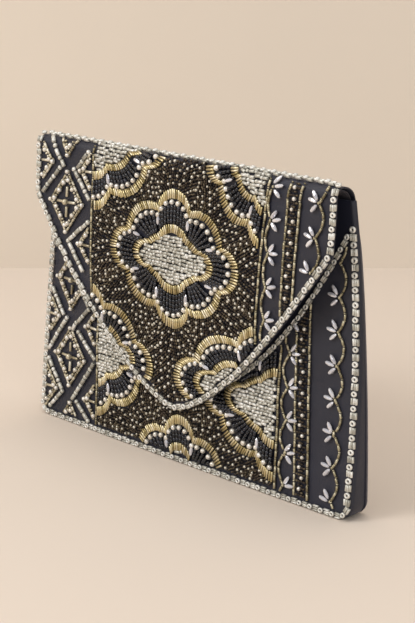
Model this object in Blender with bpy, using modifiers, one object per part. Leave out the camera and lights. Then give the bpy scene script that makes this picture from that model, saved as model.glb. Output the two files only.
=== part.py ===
"""Beaded envelope clutch: a soft pouch stiffened with board, a top fold and a curved V flap.

Metres, +Z up. X runs along the bag's width, the beaded front faces -Y, and the origin is the
middle of the base. Every cloth, board and lining is its own solid, and so is each run of beadwork.
"""

import math

import bmesh
import bpy
from mathutils import Matrix, Vector

MM = 0.001

# Pouch
HALF_WIDTH = 137.5 * MM
SIDE_TAPER = 12.0 * MM
TAPER_POWER = 2.2
MOUTH_Z = 176.0 * MM
CORNER_RADIUS = 9.0 * MM
BACK_Y = 12.6 * MM
BASE_DEPTH = 16.5 * MM
MOUTH_DEPTH = 5.6 * MM
DEPTH_POWER = 1.8
FRONT_CROWN_BASE = 0.8 * MM
FRONT_CROWN = 5.4 * MM
CROWN_RISE_Z = 60.0 * MM
BACK_CROWN = 2.2 * MM

# Layers, from the outside in, and the air between two of them
CLOTH = 0.6 * MM
BOARD = 0.8 * MM
LINING = 0.5 * MM
GAP = 0.3 * MM
BOARD_IN = CLOTH + GAP
LINING_IN = BOARD_IN + BOARD + GAP
WALL = LINING_IN + LINING

# Top fold and flap
CREASE_Z = 172.0 * MM
CREASE_GAP = 0.3 * MM
FLAP_HALF = 127.0 * MM
FLAP_TOP_Y = -8.6 * MM
FLAP_TIP_Z = 35.0 * MM
FLAP_CORNER_Z = 150.0 * MM
FLAP_EDGE_POWER = 1.52
FLAP_HEIGHTS = [z * MM for z in (35, 50, 70, 95, 122, 150, 172)]
FLAP_DEPTHS = [y * MM for y in (-9.8, -10.8, -10.8, -12.1, -12.1, -10.5, -8.6)]
FOLD_RISE = 15.5 * MM
FOLD_LEAN = 5.0 * MM
FOLD_STEPS = 12

# Magnetic snap
SNAP_Z = 60.0 * MM
SNAP_RADIUS = 9.0 * MM
SNAP_HEIGHT = 1.9 * MM
STUD_HEIGHT = 1.7 * MM
NOSE_RADIUS = 2.6 * MM
NOSE_HEIGHT = 1.2 * MM
NOSE_CLEARANCE = 0.6 * MM
WASHER_RADIUS = 9.0 * MM
WASHER_HOLE = 10.0 * MM
WASHER = 0.6 * MM
WASHER_EASE = 0.1 * MM
SNAP_SIDES = 24

# Beadwork
GROUND_BEADS = 1.4 * MM
MOTIF_BEADS = 1.8 * MM
TRIM_BEADS = 2.2 * MM
TRIM_WIDTH = 3.8 * MM
TRIM_INSET = 0.6 * MM
RAIL_WIDTH = 1.6 * MM
CREST_RADIUS = 1.7 * MM
BEAD_GAP = 0.6 * MM
VEE_LOW_Z = 48.0 * MM
VEE_HIGH_Z = 163.5 * MM
FRONT_BAND = 78.0 * MM
FLAP_BAND = 74.0 * MM
MEDALLION_HALF = (53.5 * MM, 41.0 * MM)
MEDALLION_NOTCHES = ((15.0 * MM, 31.5 * MM), (39.0 * MM, 14.0 * MM))
LOBE_RISES = (9.5 * MM, 6.0 * MM, 14.0 * MM)
RING = 5.5 * MM
BUGLE_RING = 12.0 * MM
LATTICE_X = -99.5 * MM
LATTICE_PITCH = 49.3 * MM
LATTICE_APEX_Z = 23.0 * MM
CHEVRON_APEX = 4.5 * MM
DIAMOND_HALF = 17.0 * MM
VINE_PITCH = 19.8 * MM
VINE_SWING = 3.6 * MM
LEAF_LENGTH = 9.0 * MM
LEAF_NECK = 2.2 * MM

CUT_DEPTH = 80.0 * MM

MATERIALS = {
    "satin": ((0.018, 0.017, 0.022), 0.45, 0.0),
    "lining": ((0.030, 0.028, 0.034), 0.55, 0.0),
    "board": ((0.42, 0.36, 0.28), 0.85, 0.0),
    "snap_metal": ((0.62, 0.53, 0.34), 0.28, 1.0),
    "silver_beads": ((0.72, 0.70, 0.64), 0.25, 0.9),
    "gold_beads": ((0.55, 0.42, 0.20), 0.28, 0.9),
    "black_beads": ((0.02, 0.02, 0.025), 0.12, 0.0),
    "bronze_beads": ((0.09, 0.065, 0.045), 0.30, 0.6),
    "crystal": ((0.82, 0.80, 0.82), 0.08, 0.3),
}


# ---------------------------------------------------------------- scene and materials


def clear_scene():
    for obj in list(bpy.data.objects):
        bpy.data.objects.remove(obj)


def new_collection(name):
    collection = bpy.data.collections.new(name)
    bpy.context.scene.collection.children.link(collection)
    return collection


def material(name):
    made = bpy.data.materials.get(name)
    if made is None:
        colour, roughness, metallic = MATERIALS[name]
        made = bpy.data.materials.new(name)
        made.use_nodes = True
        shader = made.node_tree.nodes["Principled BSDF"]
        shader.inputs["Base Color"].default_value = (*colour, 1.0)
        shader.inputs["Roughness"].default_value = roughness
        shader.inputs["Metallic"].default_value = metallic
    return made


def add_object(name, mesh, finish, parent=None):
    obj = bpy.data.objects.new(name, mesh)
    mesh.materials.append(material(finish))
    PARTS.objects.link(obj)
    if parent is not None:
        obj.parent = parent
        obj.matrix_parent_inverse = parent.matrix_world.inverted()
    return obj


def add_empty(name, location):
    empty = bpy.data.objects.new(name, None)
    empty.location = location
    PARTS.objects.link(empty)
    bpy.context.view_layer.update()
    return empty


# ---------------------------------------------------------------- the bag's surfaces


def half_width(z):
    """Half the pouch's width at height z: the sides draw in towards the mouth."""
    return HALF_WIDTH - SIDE_TAPER * (max(z, 0.0) / MOUTH_Z) ** TAPER_POWER


def side_depth(z):
    """Depth of the pouch along its side seams at height z."""
    up = min(max(z / MOUTH_Z, 0.0), 1.0)
    return MOUTH_DEPTH + (BASE_DEPTH - MOUTH_DEPTH) * (1.0 - up) ** DEPTH_POWER


def crown(x, z):
    """How far across the panel a point is, from 0 on a side seam to 1 in the middle."""
    return max(0.0, 1.0 - (x / half_width(z)) ** 2)


def front_y(x, z):
    rise = FRONT_CROWN_BASE + (FRONT_CROWN - FRONT_CROWN_BASE) * min(z / CROWN_RISE_Z, 1.0)
    return BACK_Y - side_depth(z) - rise * crown(x, z)


def back_y(x, z):
    up = min(max(z / CREASE_Z, 0.0), 1.0)
    return BACK_Y + BACK_CROWN * crown(x, z) * math.sin(math.pi * up)


def flap_y(x, z):
    """The flap's outer face: a shallow arch from the front crease down to the tip."""
    for low, high, y_low, y_high in zip(FLAP_HEIGHTS, FLAP_HEIGHTS[1:], FLAP_DEPTHS, FLAP_DEPTHS[1:]):
        if z <= high:
            return y_low + (y_high - y_low) * (max(z, low) - low) / (high - low)
    return FLAP_TOP_Y


def flap_edge_z(x, inset=0.0):
    """Height of the flap's lower edge at x."""
    return FLAP_TIP_Z + inset + (FLAP_CORNER_Z - FLAP_TIP_Z) * (abs(x) / FLAP_HALF) ** FLAP_EDGE_POWER


def vee_z(x):
    """Height of the line where the pouch's beadwork stops under the flap."""
    reach = half_width(VEE_HIGH_Z)
    return VEE_LOW_Z + (VEE_HIGH_Z - VEE_LOW_Z) * (x / reach) ** 2


# ---------------------------------------------------------------- outlines in the XZ plane


def pouch_side(inset, low_z, high_z, steps):
    """Points up the right side, from the rounded base corner to high_z."""
    radius = CORNER_RADIUS - inset
    centre_x = HALF_WIDTH - inset - radius
    corner = [
        (
            centre_x + radius * math.sin(turn * math.pi / 8),
            low_z + radius - radius * math.cos(turn * math.pi / 8),
        )
        for turn in range(5)
    ]
    start = low_z + radius
    rise = [start + (high_z - start) * k / steps for k in range(1, steps + 1)]
    return corner + [(half_width(z) - inset, z) for z in rise]


def mirrored(points):
    """A right-hand half outline, bottom to top, closed with its own mirror image."""
    return points + [(-x, z) for x, z in reversed(points) if abs(x) > 1e-7]


def pouch_outline(inset=0.0, low_z=0.0, high_z=MOUTH_Z):
    return mirrored(pouch_side(inset, low_z, high_z, 7))


def flap_outline(inset=0.0, top=CREASE_Z - CREASE_GAP, steps=14):
    side = FLAP_HALF - inset
    edge = [side * math.sin(math.pi / 2 * k / steps) for k in range(steps + 1)]
    half = [(x, flap_edge_z(x, inset)) for x in edge]
    return mirrored(half + [(side, top)])


def strip(points, width):
    """The outline of a band of even width along a line of points."""
    left, right = [], []
    for k, (x, z) in enumerate(points):
        before = points[max(k - 1, 0)]
        after = points[min(k + 1, len(points) - 1)]
        along = Vector((after[0] - before[0], after[1] - before[1])).normalized()
        side = Vector((-along.y, along.x)) * width / 2
        left.append((x + side.x, z + side.y))
        right.append((x - side.x, z - side.y))
    return left + right[::-1]


def bar(x, width, low_z, high_z):
    half = width / 2
    return [(x - half, low_z), (x + half, low_z), (x + half, high_z), (x - half, high_z)]


def arc_between(start, end, rise, steps):
    """Points of the arc that bows out to the right of start to end by rise, without its end."""
    a, b = Vector(start), Vector(end)
    half = (b - a).length / 2
    radius = (half * half + rise * rise) / (2 * rise)
    out = Vector(((b - a).y, -(b - a).x)).normalized()
    centre = (a + b) / 2 + out * (rise - radius)
    first = math.atan2((a - centre).y, (a - centre).x)
    sweep = 2 * math.atan2(half, radius - rise)
    return [
        (
            centre.x + radius * math.cos(first + sweep * k / steps),
            centre.y + radius * math.sin(first + sweep * k / steps),
        )
        for k in range(steps)
    ]


def medallion(centre, inset=0.0, steps=4):
    """The eight-lobed medallion outline, drawn in by inset all round."""
    high, wide = MEDALLION_NOTCHES
    top, slant, side = LOBE_RISES
    shrink_x = 1.0 - inset / MEDALLION_HALF[0]
    shrink_z = 1.0 - inset / MEDALLION_HALF[1]
    notches = [
        (wide[0], -wide[1]),
        wide,
        high,
        (-high[0], high[1]),
        (-wide[0], wide[1]),
        (-wide[0], -wide[1]),
        (-high[0], -high[1]),
        (high[0], -high[1]),
    ]
    rises = [side, slant, top, slant, side, slant, top, slant]
    points = []
    for k, rise in enumerate(rises):
        points += arc_between(notches[k], notches[(k + 1) % 8], rise, steps)
    return [(centre[0] + x * shrink_x, centre[1] + z * shrink_z) for x, z in points]


def vine(x, low_z, high_z, side):
    """A scalloped vine from low_z to high_z with a fan of three leaves at each cusp, on one side."""
    cusps = int((high_z - low_z) / VINE_PITCH)
    half = RAIL_WIDTH / 2
    leafy, plain = [], []
    for k in range(cusps):
        base = low_z + k * VINE_PITCH
        middle = base + VINE_PITCH / 2
        leafy.append((x - side * (VINE_SWING - half), middle))
        plain.append((x - side * half, base))
        plain.append((x - side * (VINE_SWING + half), middle))
        joint = base + VINE_PITCH
        for turn in range(7):
            reach = LEAF_LENGTH if turn % 2 else LEAF_NECK
            angle = math.radians(-75 + 25 * turn)
            leafy.append((x + side * reach * math.cos(angle), joint + reach * math.sin(angle)))
    plain.append((x - side * half, low_z + cusps * VINE_PITCH))
    leafy.insert(0, (x + side * half, low_z))
    outline = plain[::-1] + leafy
    return outline if side < 0 else outline[::-1]


def chevron(apex, direction, reach, width):
    """A bent bead line: its apex, and two arms that run 45 degrees away from it."""
    x, z = apex
    ends = [(x + direction * reach, z + reach), (x, z), (x + direction * reach, z - reach)]
    slim = width / math.sqrt(2)
    outer = [(px - direction * slim, pz) for px, pz in ends]
    inner = [(px + direction * slim, pz) for px, pz in ends]
    return outer + inner[::-1]


def diamond(centre, half):
    x, z = centre
    return [(x, z - half), (x + half, z), (x, z + half), (x - half, z)]


# ---------------------------------------------------------------- solids


def flat_face(mesh, outline):
    """One face in the XZ plane from an outline, facing -Y."""
    verts = [mesh.verts.new((x, 0.0, z)) for x, z in outline]
    face = mesh.faces.new(verts)
    face.normal_update()
    if face.normal.y > 0:
        face.normal_flip()
    return face


def flat_ring(mesh, outline, hole):
    """A ring of faces in the XZ plane between two outlines of the same number of points."""
    outer = [mesh.verts.new((x, 0.0, z)) for x, z in outline]
    inner = [mesh.verts.new((x, 0.0, z)) for x, z in hole]
    for k in range(len(outer)):
        mesh.faces.new((outer[k - 1], outer[k], inner[k], inner[k - 1]))
    bmesh.ops.recalc_face_normals(mesh, faces=mesh.faces[:])


def sheet(name, outline, surface, offset, thickness, finish, parent=None, columns=10, levels=(), hole=None):
    """A cloth or board: an outline draped over a surface, offset behind it, and thickened inwards."""
    build = bmesh.new()
    if hole is None:
        flat_face(build, outline)
    else:
        flat_ring(build, outline, hole)
    cuts = [HALF_WIDTH * (2 * k / columns - 1) for k in range(1, columns)]
    planes = [((x, 0, 0), (1, 0, 0)) for x in cuts] + [((0, 0, z), (0, 0, 1)) for z in levels]
    for point, normal in planes:
        everything = build.verts[:] + build.edges[:] + build.faces[:]
        bmesh.ops.bisect_plane(build, geom=everything, plane_co=point, plane_no=normal, dist=1e-6)
    bmesh.ops.remove_doubles(build, verts=build.verts[:], dist=1e-5)
    for vert in build.verts:
        vert.co.y = surface(vert.co.x, vert.co.z) + offset
    bmesh.ops.triangulate(build, faces=build.faces[:])
    front = build.faces[:]
    back = bmesh.ops.extrude_face_region(build, geom=front)["geom"]
    moved = [item for item in back if isinstance(item, bmesh.types.BMVert)]
    bmesh.ops.translate(build, verts=moved, vec=(0.0, thickness, 0.0))
    bmesh.ops.recalc_face_normals(build, faces=build.faces[:])
    mesh = bpy.data.meshes.new(name)
    build.to_mesh(mesh)
    build.free()
    return add_object(name, mesh, finish, parent)


def prism(name, outline):
    """A cutter: an outline in the XZ plane, pushed right through the bag along Y."""
    build = bmesh.new()
    flat_face(build, outline)
    for vert in build.verts:
        vert.co.y = -CUT_DEPTH / 2
    grown = bmesh.ops.extrude_face_region(build, geom=build.faces[:])["geom"]
    moved = [item for item in grown if isinstance(item, bmesh.types.BMVert)]
    bmesh.ops.translate(build, verts=moved, vec=(0.0, CUT_DEPTH, 0.0))
    bmesh.ops.recalc_face_normals(build, faces=build.faces[:])
    mesh = bpy.data.meshes.new(name)
    build.to_mesh(mesh)
    build.free()
    cutter = bpy.data.objects.new(name, mesh)
    CUTTERS.objects.link(cutter)
    cutter.hide_render = True
    cutter.display_type = "WIRE"
    return cutter


def boolean(obj, cutter, operation):
    modifier = obj.modifiers.new(operation.lower(), "BOOLEAN")
    modifier.operation = operation
    modifier.object = cutter
    modifier.solver = "EXACT"


def beadwork(name, outlines, holes, region, finish, height, parent=None):
    """A run of beads as one plate on its cloth: the region's beaded area inside every outline."""
    outline, surface, columns, levels = region
    plate = sheet(
        name, outline, surface, -GAP - height, height, finish, parent, columns=columns, levels=levels
    )
    for k, shape in enumerate(outlines):
        boolean(plate, prism(f"{name}_keep_{k}", shape), "INTERSECT")
    for k, shape in enumerate(holes):
        boolean(plate, prism(f"{name}_hole_{k}", shape), "DIFFERENCE")
    return plate


def disc(name, centre, radius, depth, finish, parent=None, tilt=0.0):
    """A round plate from centre.y to centre.y + depth; tilt leans its face back like the panel's."""
    build = bmesh.new()
    turn = Matrix.Rotation(math.pi / 2 - tilt, 4, "X")
    place = Matrix.Translation((centre[0], centre[1] + depth / 2, centre[2]))
    bmesh.ops.create_cone(
        build,
        cap_ends=True,
        segments=SNAP_SIDES,
        radius1=radius,
        radius2=radius,
        depth=depth,
        matrix=place @ turn,
    )
    mesh = bpy.data.meshes.new(name)
    build.to_mesh(mesh)
    build.free()
    return add_object(name, mesh, finish, parent)


def as_cutter(obj):
    PARTS.objects.unlink(obj)
    CUTTERS.objects.link(obj)
    obj.hide_render = True
    obj.display_type = "WIRE"
    return obj


def circle(x, z, radius, sides=SNAP_SIDES):
    turns = [2 * math.pi * k / sides for k in range(sides)]
    return [(x + radius * math.cos(t), z + radius * math.sin(t)) for t in turns]


# ---------------------------------------------------------------- pouch


PANEL_LEVELS = tuple(z * MM for z in (18, 40, 60, 80, 105, 140))


def pouch_panels():
    panels = (("front", front_y, 1, MOUTH_Z), ("back", back_y, -1, CREASE_Z - GAP))
    for side, surface, inward, top in panels:
        layers = (("cloth", 0.0, CLOTH, 0.0, "satin"), ("board", BOARD_IN, BOARD, 1.4 * MM, "board"),
                  ("lining", LINING_IN, LINING, 1.2 * MM, "lining"))
        for layer, depth, thick, inset, finish in layers:
            low = 0.0 if layer == "cloth" else 3.0 * MM
            offset = depth if inward > 0 else -depth - thick
            outline = pouch_outline(inset, low, top - inset)
            panel = sheet(f"{side}_{layer}", outline, surface, offset, thick, finish, levels=PANEL_LEVELS)
            if (side, layer) == ("front", "board"):
                boolean(panel, prism("front_board_hole", circle(0, SNAP_Z, WASHER_HOLE)), "DIFFERENCE")


def gusset():
    """The satin strip that joins the two panels down one side, along the base and up the other."""
    path = pouch_side(0.0, 0.0, CREASE_Z - GAP, 7)
    base = [(HALF_WIDTH * (k / 5 - 1), 0.0) for k in range(1, 10)]
    path = [(-x, z) for x, z in reversed(path)] + base + path
    build = bmesh.new()
    rows = []
    for x, z in path:
        front = front_y(x, z) + CLOTH + GAP
        back = back_y(x, z) - CLOTH - GAP
        rows.append((build.verts.new((x, front, z)), build.verts.new((x, back, z))))
    for (a, b), (c, d) in zip(rows, rows[1:]):
        build.faces.new((a, b, d, c))
    bmesh.ops.triangulate(build, faces=build.faces[:])
    mesh = bpy.data.meshes.new("gusset")
    build.to_mesh(mesh)
    build.free()
    band = add_object("gusset", mesh, "satin")
    solid = band.modifiers.new("thickness", "SOLIDIFY")
    solid.thickness = CLOTH
    solid.offset = -1.0
    return band


def base_board():
    half = HALF_WIDTH - CORNER_RADIUS - 4.0 * MM
    outline = [(-half, 1.2 * MM), (half, 1.2 * MM), (half, 2.8 * MM), (-half, 2.8 * MM)]
    front = BACK_Y - BASE_DEPTH + CLOTH + 2 * GAP
    depth = BASE_DEPTH - 2 * CLOTH - 4 * GAP
    return sheet("base_board", outline, lambda x, z: front, 0.0, depth, "board", columns=1)


def slip_pocket():
    half, low, high = 55.0 * MM, 62.0 * MM, 128.0 * MM
    outline = [(-half, low), (half, low), (half, high), (-half, high)]
    offset = -WALL - GAP - LINING
    sheet("slip_pocket", outline, back_y, offset, LINING, "lining", columns=4, levels=(95.0 * MM,))
    top = high + GAP
    edge = [(-half, top), (half, top), (half, top + 4.0 * MM), (-half, top + 4.0 * MM)]
    sheet("slip_pocket_binding", edge, back_y, offset - LINING, 2 * LINING, "satin", columns=4)


def mouth_binding():
    half = half_width(MOUTH_Z) - 8.0 * MM
    low, high = MOUTH_Z + GAP, MOUTH_Z + GAP + 1.0 * MM
    outline = [(-half, low), (half, low), (half, high), (-half, high)]
    return sheet("mouth_binding", outline, front_y, 0.0, WALL, "satin")


def snap_socket():
    above, below = front_y(0.0, SNAP_Z + WASHER_RADIUS), front_y(0.0, SNAP_Z - WASHER_RADIUS)
    tilt = math.atan2(above - below, 2 * WASHER_RADIUS)
    face = front_y(0.0, SNAP_Z) - GAP - SNAP_HEIGHT
    socket = disc("snap_socket", (0.0, face, SNAP_Z), SNAP_RADIUS, SNAP_HEIGHT, "snap_metal", tilt=tilt)
    depth = NOSE_HEIGHT + 1.3 * MM
    radius = NOSE_RADIUS + NOSE_CLEARANCE
    well = disc("snap_well", (0.0, face - 1.0 * MM, SNAP_Z), radius, depth, "snap_metal", tilt=tilt)
    boolean(socket, as_cutter(well), "DIFFERENCE")
    plate = front_y(0.0, SNAP_Z) + BOARD_IN + WASHER_EASE
    disc("snap_socket_washer", (0.0, plate, SNAP_Z), WASHER_RADIUS, WASHER, "snap_metal", tilt=tilt)


def vee_points(steps=16):
    reach = half_width(VEE_HIGH_Z) - TRIM_INSET - TRIM_WIDTH
    return [(reach * (2 * k / steps - 1), vee_z(reach * (2 * k / steps - 1))) for k in range(steps + 1)]


def front_trims():
    edge = (pouch_outline(TRIM_INSET, TRIM_INSET, MOUTH_Z - 2 * MM), front_y, 10, PANEL_LEVELS)
    base_top = TRIM_INSET + TRIM_WIDTH
    half = half_width(0)
    line = [(-half, -MM), (half, -MM), (half, base_top), (-half, base_top)]
    beadwork("trim_base", [line], [], edge, "silver_beads", TRIM_BEADS)
    corner = half_width(VEE_HIGH_Z)
    for name, side in (("trim_right", 1), ("trim_left", -1)):
        heights = [base_top + BEAD_GAP + (VEE_HIGH_Z - base_top) * k / 8 for k in range(9)]
        path = [(side * (half_width(z) - TRIM_INSET - TRIM_WIDTH / 2), z) for z in heights]
        outline = strip(path, TRIM_WIDTH)
        beadwork(name, [outline], [], edge, "silver_beads", TRIM_BEADS)
    half = corner - TRIM_INSET - TRIM_WIDTH - BEAD_GAP
    inner = [(x, z) for x, z in vee_points() if abs(x) < half - TRIM_WIDTH]
    beadwork("trim_vee", [strip(inner, TRIM_WIDTH)], [], edge, "silver_beads", TRIM_BEADS)


def front_region():
    """The beaded part of the pouch front: inside its trims and below the vee."""
    inset = TRIM_INSET + TRIM_WIDTH + BEAD_GAP
    half = half_width(VEE_HIGH_Z) - inset - TRIM_WIDTH
    steps = 16
    across = [half * (1 - 2 * k / steps) for k in range(steps + 1)]
    top = [(x, vee_z(x) - TRIM_WIDTH) for x in across]
    right = [(half_width(z) - inset, z) for z in (inset, 40 * MM, 80 * MM, 120 * MM)]
    left = [(-x, z) for x, z in reversed(right)]
    return (right + top + left, front_y, 10, PANEL_LEVELS)


def front_beads():
    region = front_region()
    low, high = -10.0 * MM, 200.0 * MM
    band_left, band_right = -FRONT_BAND, FRONT_BAND
    clear = BEAD_GAP + RAIL_WIDTH / 2
    band = [
        (band_left + clear, low),
        (band_right - clear, low),
        (band_right - clear, high),
        (band_left + clear, high),
    ]
    centres = {
        "left": (band_left, 54.5 * MM),
        "right": (band_right, 54.5 * MM),
        "base": (-2.0 * MM, -12.0 * MM),
    }
    shapes = {name: medallion(centre) for name, centre in centres.items()}
    holes = [medallion(centre, -BEAD_GAP) for centre in centres.values()]
    beadwork("front_ground", [band], holes, region, "bronze_beads", GROUND_BEADS)
    for name, shape in shapes.items():
        beadwork(f"front_medallion_{name}", [shape, band], [], region, "gold_beads", MOTIF_BEADS)
    for name, x in (("front_rail_left", band_left), ("front_rail_right", band_right)):
        rail = bar(x, RAIL_WIDTH, low, high)
        beadwork(name, [rail], [], region, "gold_beads", MOTIF_BEADS)
    braid = 100.5 * MM
    beadwork("front_braid", [bar(braid, 9.0 * MM, low, high)], [], region, "gold_beads", MOTIF_BEADS)
    inner = vine(84.0 * MM, 7.0 * MM, 75.0 * MM, 1)
    outer = vine(124.0 * MM, 7.0 * MM, 128.0 * MM, -1)
    beadwork("front_vine_inner", [inner], [], region, "crystal", MOTIF_BEADS)
    beadwork("front_vine_outer", [outer], [], region, "crystal", MOTIF_BEADS)
    for k in range(2):
        z = LATTICE_APEX_Z + k * LATTICE_PITCH
        outer_line = chevron((LATTICE_X - CHEVRON_APEX, z), -1, 24 * MM, RAIL_WIDTH * 1.6)
        inner_line = chevron((LATTICE_X + CHEVRON_APEX, z), 1, 14 * MM, RAIL_WIDTH * 1.6)
        for name, line in (("outer", outer_line), ("inner", inner_line)):
            node = f"front_chevron_{name}_{k + 1}"
            beadwork(node, [line], [], region, "silver_beads", MOTIF_BEADS)
    centre = (LATTICE_X, LATTICE_APEX_Z + LATTICE_PITCH / 2)
    outline = diamond(centre, DIAMOND_HALF)
    windows = lattice_windows(centre)
    beadwork("front_diamond", [outline], windows, region, "gold_beads", MOTIF_BEADS)


def lattice_windows(centre):
    """Four small windows that leave a diamond's outline and its upright cross."""
    offset = DIAMOND_HALF * 0.36
    return [
        diamond((centre[0] + sx * offset, centre[1] + sz * offset), DIAMOND_HALF * 0.22)
        for sx in (-1, 1)
        for sz in (-1, 1)
    ]


# ---------------------------------------------------------------- fold


def fold_point(turn, inset):
    """A point of the fold's section: turn 0 is the rear crease and 1 the front crease."""
    centre = (BACK_Y + FLAP_TOP_Y) / 2
    half = (BACK_Y - FLAP_TOP_Y) / 2 - inset
    angle = math.pi * turn
    lift = (FOLD_RISE - inset) * math.sin(angle) ** 0.85 if 0 < turn < 1 else 0.0
    lean = FOLD_LEAN * math.sin(angle) ** 2
    return (centre + half * math.cos(angle) - lean, CREASE_Z + CREASE_GAP + lift)


def fold_layer(name, inset, thickness, finish, half, parent):
    build = bmesh.new()
    outer = [fold_point(k / FOLD_STEPS, inset) for k in range(FOLD_STEPS + 1)]
    inner = [fold_point(k / FOLD_STEPS, inset + thickness) for k in range(FOLD_STEPS + 1)]
    loop = outer + inner[::-1]
    verts = [build.verts.new((-half, y, z)) for y, z in loop]
    build.faces.new(verts)
    grown = bmesh.ops.extrude_face_region(build, geom=build.faces[:])["geom"]
    moved = [item for item in grown if isinstance(item, bmesh.types.BMVert)]
    bmesh.ops.translate(build, verts=moved, vec=(2 * half, 0.0, 0.0))
    bmesh.ops.recalc_face_normals(build, faces=build.faces[:])
    mesh = bpy.data.meshes.new(name)
    build.to_mesh(mesh)
    build.free()
    return add_object(name, mesh, finish, parent)


def fold(parent):
    fold_layer("fold_cloth", 0.0, CLOTH, "satin", FLAP_HALF, parent)
    fold_layer("fold_interlining", BOARD_IN, BOARD, "board", FLAP_HALF - 2.0 * MM, parent)
    fold_layer("fold_lining", LINING_IN, LINING, "lining", FLAP_HALF - 1.0 * MM, parent)
    y, z = max((fold_point(k / 40, 0.0) for k in range(41)), key=lambda point: point[1])
    build = bmesh.new()
    place = Matrix.Translation((0.0, y, z + GAP + CREST_RADIUS)) @ Matrix.Rotation(math.pi / 2, 4, "Y")
    bmesh.ops.create_cone(
        build, cap_ends=True, segments=10, radius1=CREST_RADIUS, radius2=CREST_RADIUS,
        depth=2 * (FLAP_HALF - TRIM_INSET), matrix=place,
    )
    mesh = bpy.data.meshes.new("trim_crest")
    build.to_mesh(mesh)
    build.free()
    add_object("trim_crest", mesh, "silver_beads", parent)


# ---------------------------------------------------------------- flap


FLAP_LEVELS = tuple(FLAP_HEIGHTS[1:-1])


def flap_layers(parent):
    sheet("flap_cloth", flap_outline(), flap_y, 0.0, CLOTH, "satin", parent, columns=2, levels=FLAP_LEVELS)
    top = CREASE_Z - CREASE_GAP - 1.0 * MM
    board = sheet("flap_board", flap_outline(1.6 * MM, top), flap_y, BOARD_IN, BOARD, "board", parent,
                  columns=2, levels=FLAP_LEVELS)
    boolean(board, prism("flap_board_hole", circle(0, SNAP_Z, WASHER_HOLE)), "DIFFERENCE")
    sheet("flap_lining", flap_outline(0.8 * MM, top), flap_y, LINING_IN, LINING, "lining", parent,
          columns=2, levels=FLAP_LEVELS)


def snap_stud(parent):
    face = flap_y(0.0, SNAP_Z) + WALL + GAP
    stud = disc("snap_stud", (0.0, face, SNAP_Z), SNAP_RADIUS, STUD_HEIGHT, "snap_metal", parent)
    nose = disc(
        "snap_nose", (0.0, face + STUD_HEIGHT - 0.5 * MM, SNAP_Z), NOSE_RADIUS,
        NOSE_HEIGHT + 0.5 * MM, "snap_metal",
    )
    boolean(stud, as_cutter(nose), "UNION")
    plate = flap_y(0.0, SNAP_Z) + BOARD_IN + WASHER_EASE
    disc("snap_stud_washer", (0.0, plate, SNAP_Z), WASHER_RADIUS, WASHER, "snap_metal", parent)


def flap_trims(parent):
    region = (flap_outline(TRIM_INSET), flap_y, 2, FLAP_LEVELS)
    inset = TRIM_INSET + TRIM_WIDTH
    side = FLAP_HALF - inset
    shelf = flap_edge_z(side, inset) + BEAD_GAP
    inner = flap_outline(inset, 200 * MM)
    below = [(-0.2, 0.0), (0.2, 0.0), (0.2, shelf), (-0.2, shelf)]
    beadwork("trim_flap_edge", [below], [inner], region, "silver_beads", TRIM_BEADS, parent)
    for name, sign in (("trim_flap_right", 1), ("trim_flap_left", -1)):
        x = sign * (FLAP_HALF - TRIM_INSET - TRIM_WIDTH / 2)
        low = shelf + BEAD_GAP
        beadwork(name, [bar(x, TRIM_WIDTH, low, 200 * MM)], [], region, "silver_beads", TRIM_BEADS, parent)


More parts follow.
